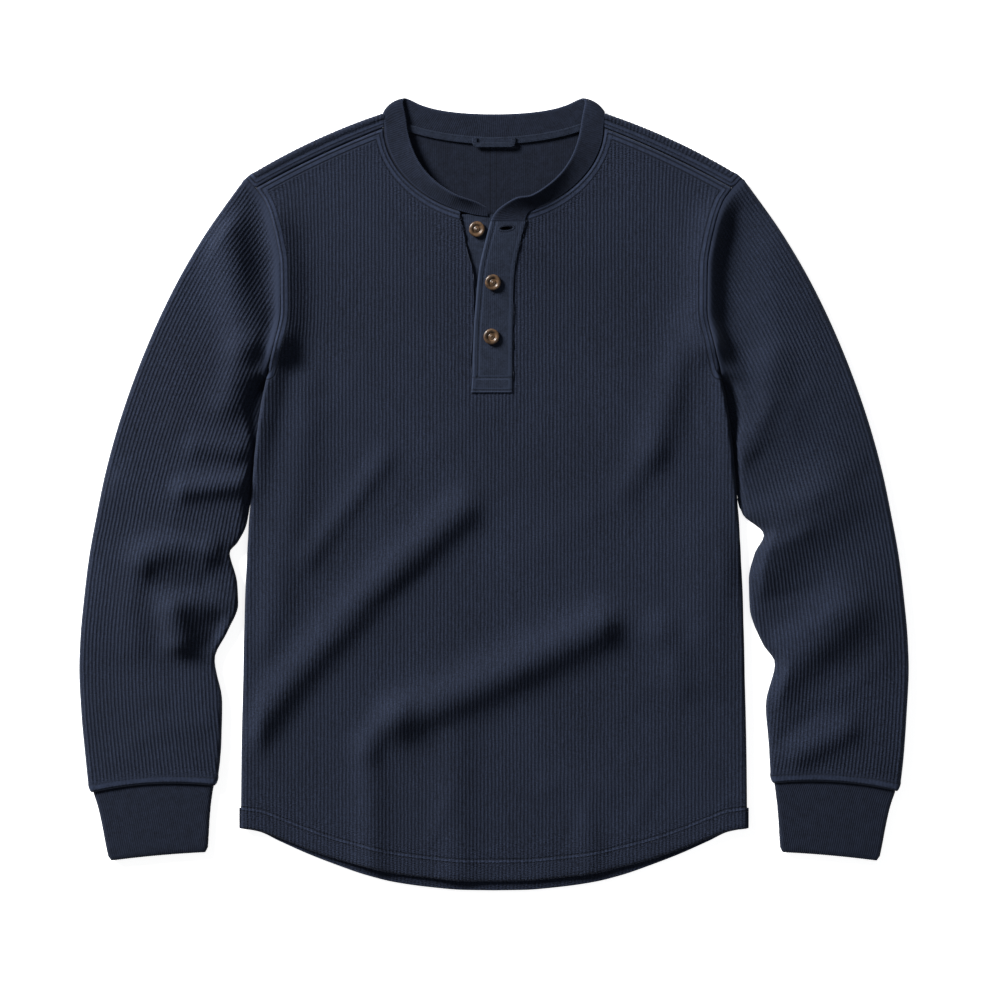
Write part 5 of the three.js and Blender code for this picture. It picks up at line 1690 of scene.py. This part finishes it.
def knit_material(name, ridge, shaded_valley, waffle, marks, bars=0.7, depth=0.4):
    """Waffle knit with its seam marks: painted shade in the stitching's grooves, which also sink the bump
    there, and painted highlights on the cloth beside them. Its ribs are pressed flat where the attribute
    called plain is 1.
    """
    material, board, shader = new_material(name)
    pressed = board.math("MULTIPLY", board.attribute("plain"), 0.85)
    knit = board.node("ShaderNodeGroup", node_tree=waffle)
    board.put(knit, "Ridge", (*ridge, 1))
    board.put(knit, "Shaded valley", (*shaded_valley, 1))
    board.put(knit, "Bar height", bars)
    seams = board.node("ShaderNodeGroup", node_tree=marks)
    # The painted shade colour for the stitching's grooves, and the painted highlight colour for the cloth
    # beside them
    dark = tuple(v * 0.3 for v in shaded_valley)
    light = tuple(v * 1.9 for v in ridge)
    middle = tuple(0.72 * high + 0.28 * low for high, low in zip(ridge, shaded_valley))
    ground = board.mix(pressed, knit.outputs["Colour"], (*middle, 1))
    painted_highlight = board.mix(board.math("MULTIPLY", seams.outputs["Painted highlight"], 0.5), ground, (*light, 1))
    colour = board.mix(board.math("MULTIPLY", seams.outputs["Groove"], 0.7), painted_highlight, (*dark, 1))
    sunk = board.math("MULTIPLY", seams.outputs["Groove"], -1.0)
    ribs = board.math("MULTIPLY", knit.outputs["Height"], board.math("SUBTRACT", 1.0, pressed))
    cotton(board, shader, colour, board.math("ADD", ribs, sunk), depth)
    return material


def rib_material(name, colour, fine, depth=0.12, shade=0.3, ribs=1.0, marked=False, dark_lines=()):
    """Fine knit. Marked cloth has pressed lines along its stitching, painted darker as shade, with a painted
    highlight beside them and along its rolled edge.
    """
    material, board, shader = new_material(name)
    rib = board.node("ShaderNodeGroup", node_tree=fine)
    board.put(rib, "Colour", (*colour, 1))
    board.put(rib, "Depth", shade)
    board.put(rib, "Ribs", ribs)
    shown, height = rib.outputs["Colour"], rib.outputs["Height"]
    dark, light = tuple(v * 0.35 for v in colour), tuple(v * 2.0 for v in colour)
    if marked:
        seam, edge = board.attribute("seam"), board.attribute("hem")
        # Painted highlight beside the stitching and along the rolled free edge
        painted_highlight_mask = board.math("MAXIMUM", board.line(seam, 1.5, 1.0), board.smooth(edge, 0.6, 2.6, 1.0, 0.0))
        shown = board.mix(board.math("MULTIPLY", painted_highlight_mask, 0.55), shown, (*light, 1))
        # Painted shade in the stitching's groove, which also sinks the bump
        groove = board.line(seam, 0.0, 0.9)
        shown = board.mix(board.math("MULTIPLY", groove, 0.75), shown, (*dark, 1))
        height = board.math("SUBTRACT", height, groove)
    for at in dark_lines:
        split = board.node("ShaderNodeSeparateXYZ")
        board.join(board.node("ShaderNodeTexCoord").outputs["Object"], split.inputs[0])
        dark_line = board.line(split.outputs["X"], at * MM, 0.8 * MM)
        shown = board.mix(board.math("MULTIPLY", dark_line, 0.6), shown, (*dark, 1))
    cotton(board, shader, shown, height, depth)
    return material


def horn_material(colour):
    """Polished brown horn with darker and lighter streaks"""
    material, board, shader = new_material("Brown horn")
    place_at = board.node("ShaderNodeTexCoord").outputs["Object"]
    streaks = board.noise(place_at, 260, 4, 0.6)
    grain = board.noise(place_at, 1500, 2, 0.5)
    dark = tuple(v * 0.45 for v in colour)
    light = tuple(min(1, v * 1.7) for v in colour)
    mixed = board.mix(board.smooth(streaks, 0.35, 0.65), (*dark, 1), (*light, 1))
    mixed = board.mix(board.smooth(grain, 0.4, 0.7, 0.0, 0.35), mixed, (*colour, 1))
    board.join(mixed, shader.inputs["Base Color"])
    board.join(board.smooth(grain, 0.3, 0.7, 0.28, 0.45), shader.inputs["Roughness"])
    shader.inputs["Coat Weight"].default_value = 0.25
    shader.inputs["Coat Roughness"].default_value = 0.25
    return material


MATERIAL_NAMES = {
    "knit": "Waffle knit",
    "inside": "Knit inside",
    "rib": "Fine rib",
    "placket": "Placket cloth",
    "thread": "Thread",
    "horn": "Brown horn",
}


def all_materials(colours):
    """The materials by use, made once"""
    if "Waffle knit" in bpy.data.materials:
        return {use: bpy.data.materials[name] for use, name in MATERIAL_NAMES.items()}
    waffle, marks, fine = waffle_group(), seam_group(), fine_rib_group()
    ridge, shaded_valley = tuple(colours.ridge), tuple(colours.shaded_valley)
    made = {
        "knit": knit_material("Waffle knit", ridge, shaded_valley, waffle, marks),
        "inside": rib_material(
            "Knit inside", tuple(colours.inside), fine, 0.08, 0.14, 2.0, dark_lines=BACK_DARK_LINES),
        "rib": rib_material("Fine rib", tuple(colours.rib), fine, marked=True),
        "placket": rib_material("Placket cloth", tuple(colours.placket), fine, 0.08, 0.14, marked=True),
        "thread": rib_material("Thread", tuple(colours.thread), fine, 0.05, 0.0),
        "horn": horn_material(tuple(colours.horn)),
    }
    return made


# Stage: what the photo spans, the camera straight above, and the lights by place, width and power
PHOTO_SPAN = 0.92
CAMERA_HEIGHT = 3.0
CAMERA_MIDDLE = (0.00552, -0.00534)
LIGHTS = [
    ("key", (-3.9, 3.2, 2.25), 1.7, 760),
    ("fill", (1.6, -1.2, 2.8), 2.6, 9),
]


def make_stage():
    scene = bpy.context.scene
    scene.view_settings.view_transform = "Standard"
    bpy.ops.object.select_all(action="DESELECT")
    bpy.ops.mesh.primitive_grid_add(x_subdivisions=4, y_subdivisions=4, size=20, location=(0, 0, -0.0006))
    floor = bpy.context.active_object
    floor.data.transform(Matrix.Translation(floor.location))
    floor.location = (0, 0, 0)
    floor.name = "floor"
    material, board, shader = new_material("Pale floor")
    place_at = board.node("ShaderNodeTexCoord").outputs["Object"]
    paper = board.smooth(board.noise(place_at, 300, 3), 0.3, 0.7, 0.965, 0.985)
    tint = board.node("ShaderNodeCombineColor")
    for name in ("Red", "Green", "Blue"):
        board.join(paper, tint.inputs[name])
    board.join(tint.outputs[0], shader.inputs["Base Color"])
    shader.inputs["Roughness"].default_value = 0.9
    shader.inputs["Emission Color"].default_value = (1, 1, 1, 1)
    shader.inputs["Emission Strength"].default_value = 0.82
    floor.data.materials.append(material)

    def soft_light(name, spot, size, power):
        light = bpy.data.lights.new(name, "AREA")
        light.shape = "DISK"
        light.size = size
        light.energy = power
        lamp = bpy.data.objects.new(name, light)
        lamp.location = spot
        lamp.rotation_euler = Vector(spot).to_track_quat("Z", "Y").to_euler()
        scene.collection.objects.link(lamp)

    for name, spot, size, power in LIGHTS:
        soft_light(name, spot, size, power)
    world = bpy.data.worlds.new("Pale room")
    world.use_nodes = True
    sky = world.node_tree.nodes["Background"]
    sky.inputs["Color"].default_value = (0.96, 0.98, 1.0, 1)
    sky.inputs["Strength"].default_value = 0.13
    scene.world = world

    lens = bpy.data.cameras.new("camera")
    lens.sensor_width = 36
    lens.lens = 36 * CAMERA_HEIGHT / PHOTO_SPAN
    lens.clip_end = 20
    camera = bpy.data.objects.new("camera", lens)
    camera.location = (*CAMERA_MIDDLE, CAMERA_HEIGHT)
    scene.collection.objects.link(camera)
    scene.camera = camera


# The add-on's sizes, colours, operators and panel
class ThermalTopSizes(bpy.types.PropertyGroup):
    rib_pitch: bpy.props.FloatProperty(
        name="Rib pitch", description="From one upright rib of the knit to the next",
        default=0.00334, min=0.002, max=0.01, unit="LENGTH")
    rib_height: bpy.props.FloatProperty(
        name="Rib height", description="From the bottom of a valley to the top of a rib",
        default=0.00046, min=0.0, max=0.003, unit="LENGTH")
    fine_rib_pitch: bpy.props.FloatProperty(
        name="Fine rib pitch", description="From one rib to the next on the neckband and cuffs",
        default=0.0019, min=0.001, max=0.005, unit="LENGTH")
    stitch_step: bpy.props.FloatProperty(
        name="Stitch step", description="From one stitch to the next",
        default=0.0031, min=0.0015, max=0.01, unit="LENGTH")
    stitch_thickness: bpy.props.FloatProperty(
        name="Thread thickness", description="Thickness of the topstitching thread",
        default=0.00062, min=0.0002, max=0.002, unit="LENGTH")


class ThermalTopColours(bpy.types.PropertyGroup):
    # The valleys' colour is darker than the ribs' as painted shade
    ridge: bpy.props.FloatVectorProperty(
        name="Knit ridges", description="Colour of the knit's raised ribs",
        subtype="COLOR", size=3, min=0, max=1, default=(0.0163, 0.0224, 0.0424))
    shaded_valley: bpy.props.FloatVectorProperty(
        name="Knit valleys", description="Colour between the knit's ribs",
        subtype="COLOR", size=3, min=0, max=1, default=(0.0084, 0.0116, 0.0223))
    inside: bpy.props.FloatVectorProperty(
        name="Knit inside", description="Colour of the knit's smooth inner face",
        subtype="COLOR", size=3, min=0, max=1, default=(0.0068, 0.0095, 0.0185))
    rib: bpy.props.FloatVectorProperty(
        name="Fine rib", description="Colour of the neckband and cuffs",
        subtype="COLOR", size=3, min=0, max=1, default=(0.0086, 0.0119, 0.0229))
    placket: bpy.props.FloatVectorProperty(
        name="Placket", description="Colour of the plackets and the neck tape",
        subtype="COLOR", size=3, min=0, max=1, default=(0.0136, 0.0186, 0.0333))
    thread: bpy.props.FloatVectorProperty(
        name="Thread", description="Colour of the topstitching",
        subtype="COLOR", size=3, min=0, max=1, default=(0.0145, 0.0195, 0.0345))
    horn: bpy.props.FloatVectorProperty(
        name="Buttons", description="Colour of the horn buttons",
        subtype="COLOR", size=3, min=0, max=1, default=(0.075, 0.042, 0.021))


class MakePiece:
    """What the operators share"""

    bl_options = {"REGISTER", "UNDO"}

    def execute(self, context):
        materials = all_materials(context.scene.thermal_top_colours)
        self.make(context.scene.thermal_top_sizes, materials)
        return {"FINISHED"}


class THERMALTOP_OT_front(MakePiece, bpy.types.Operator):
    """Make the front panel"""

    bl_idname = "thermal_top.front"
    bl_label = "Front"

    def make(self, sizes, materials):
        make_front(sizes, materials)


class THERMALTOP_OT_back(MakePiece, bpy.types.Operator):
    """Make the back panel, with its shoulders folded forward"""

    bl_idname = "thermal_top.back"
    bl_label = "Back"

    def make(self, sizes, materials):
        make_back(sizes, materials)


class THERMALTOP_OT_sleeves(MakePiece, bpy.types.Operator):
    """Make both sleeves"""

    bl_idname = "thermal_top.sleeves"
    bl_label = "Sleeves"

    def make(self, sizes, materials):
        make_sleeve("right", sizes, materials)
        make_sleeve("left", sizes, materials)


class THERMALTOP_OT_cuffs(MakePiece, bpy.types.Operator):
    """Make both cuffs"""

    bl_idname = "thermal_top.cuffs"
    bl_label = "Cuffs"

    def make(self, sizes, materials):
        make_cuff("right", sizes, materials)
        make_cuff("left", sizes, materials)


class THERMALTOP_OT_neckband(MakePiece, bpy.types.Operator):
    """Make the neckband"""

    bl_idname = "thermal_top.neckband"
    bl_label = "Neckband"

    def make(self, sizes, materials):
        make_neckband(sizes, materials)


class THERMALTOP_OT_plackets(MakePiece, bpy.types.Operator):
    """Make the over and under plackets, with their buttonholes"""

    bl_idname = "thermal_top.plackets"
    bl_label = "Plackets"

    def make(self, sizes, materials):
        make_plackets(sizes, materials)


class THERMALTOP_OT_tape(MakePiece, bpy.types.Operator):
    """Make the back neck tape and the hanging loop"""

    bl_idname = "thermal_top.tape"
    bl_label = "Neck tape and loop"

    def make(self, sizes, materials):
        make_tape_and_loop(sizes, materials)


class THERMALTOP_OT_buttons(MakePiece, bpy.types.Operator):
    """Make the three buttons"""

    bl_idname = "thermal_top.buttons"
    bl_label = "Buttons"

    def make(self, sizes, materials):
        make_buttons(sizes, materials)


class THERMALTOP_OT_stitching(MakePiece, bpy.types.Operator):
    """Lay the topstitching on the finished cloth"""

    bl_idname = "thermal_top.stitching"
    bl_label = "Stitching"

    def make(self, sizes, materials):
        make_stitching(sizes, materials)


class THERMALTOP_OT_stage(MakePiece, bpy.types.Operator):
    """Make the floor, the lights and the camera"""

    bl_idname = "thermal_top.stage"
    bl_label = "Stage"

    def make(self, sizes, materials):
        make_stage()


OPERATORS = (
    THERMALTOP_OT_front,
    THERMALTOP_OT_back,
    THERMALTOP_OT_sleeves,
    THERMALTOP_OT_cuffs,
    THERMALTOP_OT_neckband,
    THERMALTOP_OT_plackets,
    THERMALTOP_OT_tape,
    THERMALTOP_OT_buttons,
    THERMALTOP_OT_stitching,
    THERMALTOP_OT_stage,
)


class THERMALTOP_PT_sidebar(bpy.types.Panel):
    bl_idname = "THERMALTOP_PT_sidebar"
    bl_label = "Thermal top"
    bl_space_type = "VIEW_3D"
    bl_region_type = "UI"
    bl_category = "Thermal top"

    def draw(self, context):
        for values in (context.scene.thermal_top_sizes, context.scene.thermal_top_colours):
            for name in values.__annotations__:
                self.layout.prop(values, name)
        for each in OPERATORS:
            self.layout.operator(each.bl_idname)


CLASSES = (ThermalTopSizes, ThermalTopColours, *OPERATORS, THERMALTOP_PT_sidebar)


def register():
    for each in CLASSES:
        bpy.utils.register_class(each)
    bpy.types.Scene.thermal_top_sizes = bpy.props.PointerProperty(type=ThermalTopSizes)
    bpy.types.Scene.thermal_top_colours = bpy.props.PointerProperty(type=ThermalTopColours)


def unregister():
    del bpy.types.Scene.thermal_top_colours
    del bpy.types.Scene.thermal_top_sizes
    for each in reversed(CLASSES):
        bpy.utils.unregister_class(each)


def main():
    register()
    ops = bpy.ops.thermal_top
    steps = (ops.back, ops.front, ops.sleeves, ops.cuffs, ops.neckband, ops.plackets, ops.tape, ops.buttons)
    for make in (*steps, ops.stitching, ops.stage):
        make()


if __name__ == "__main__":
    main()
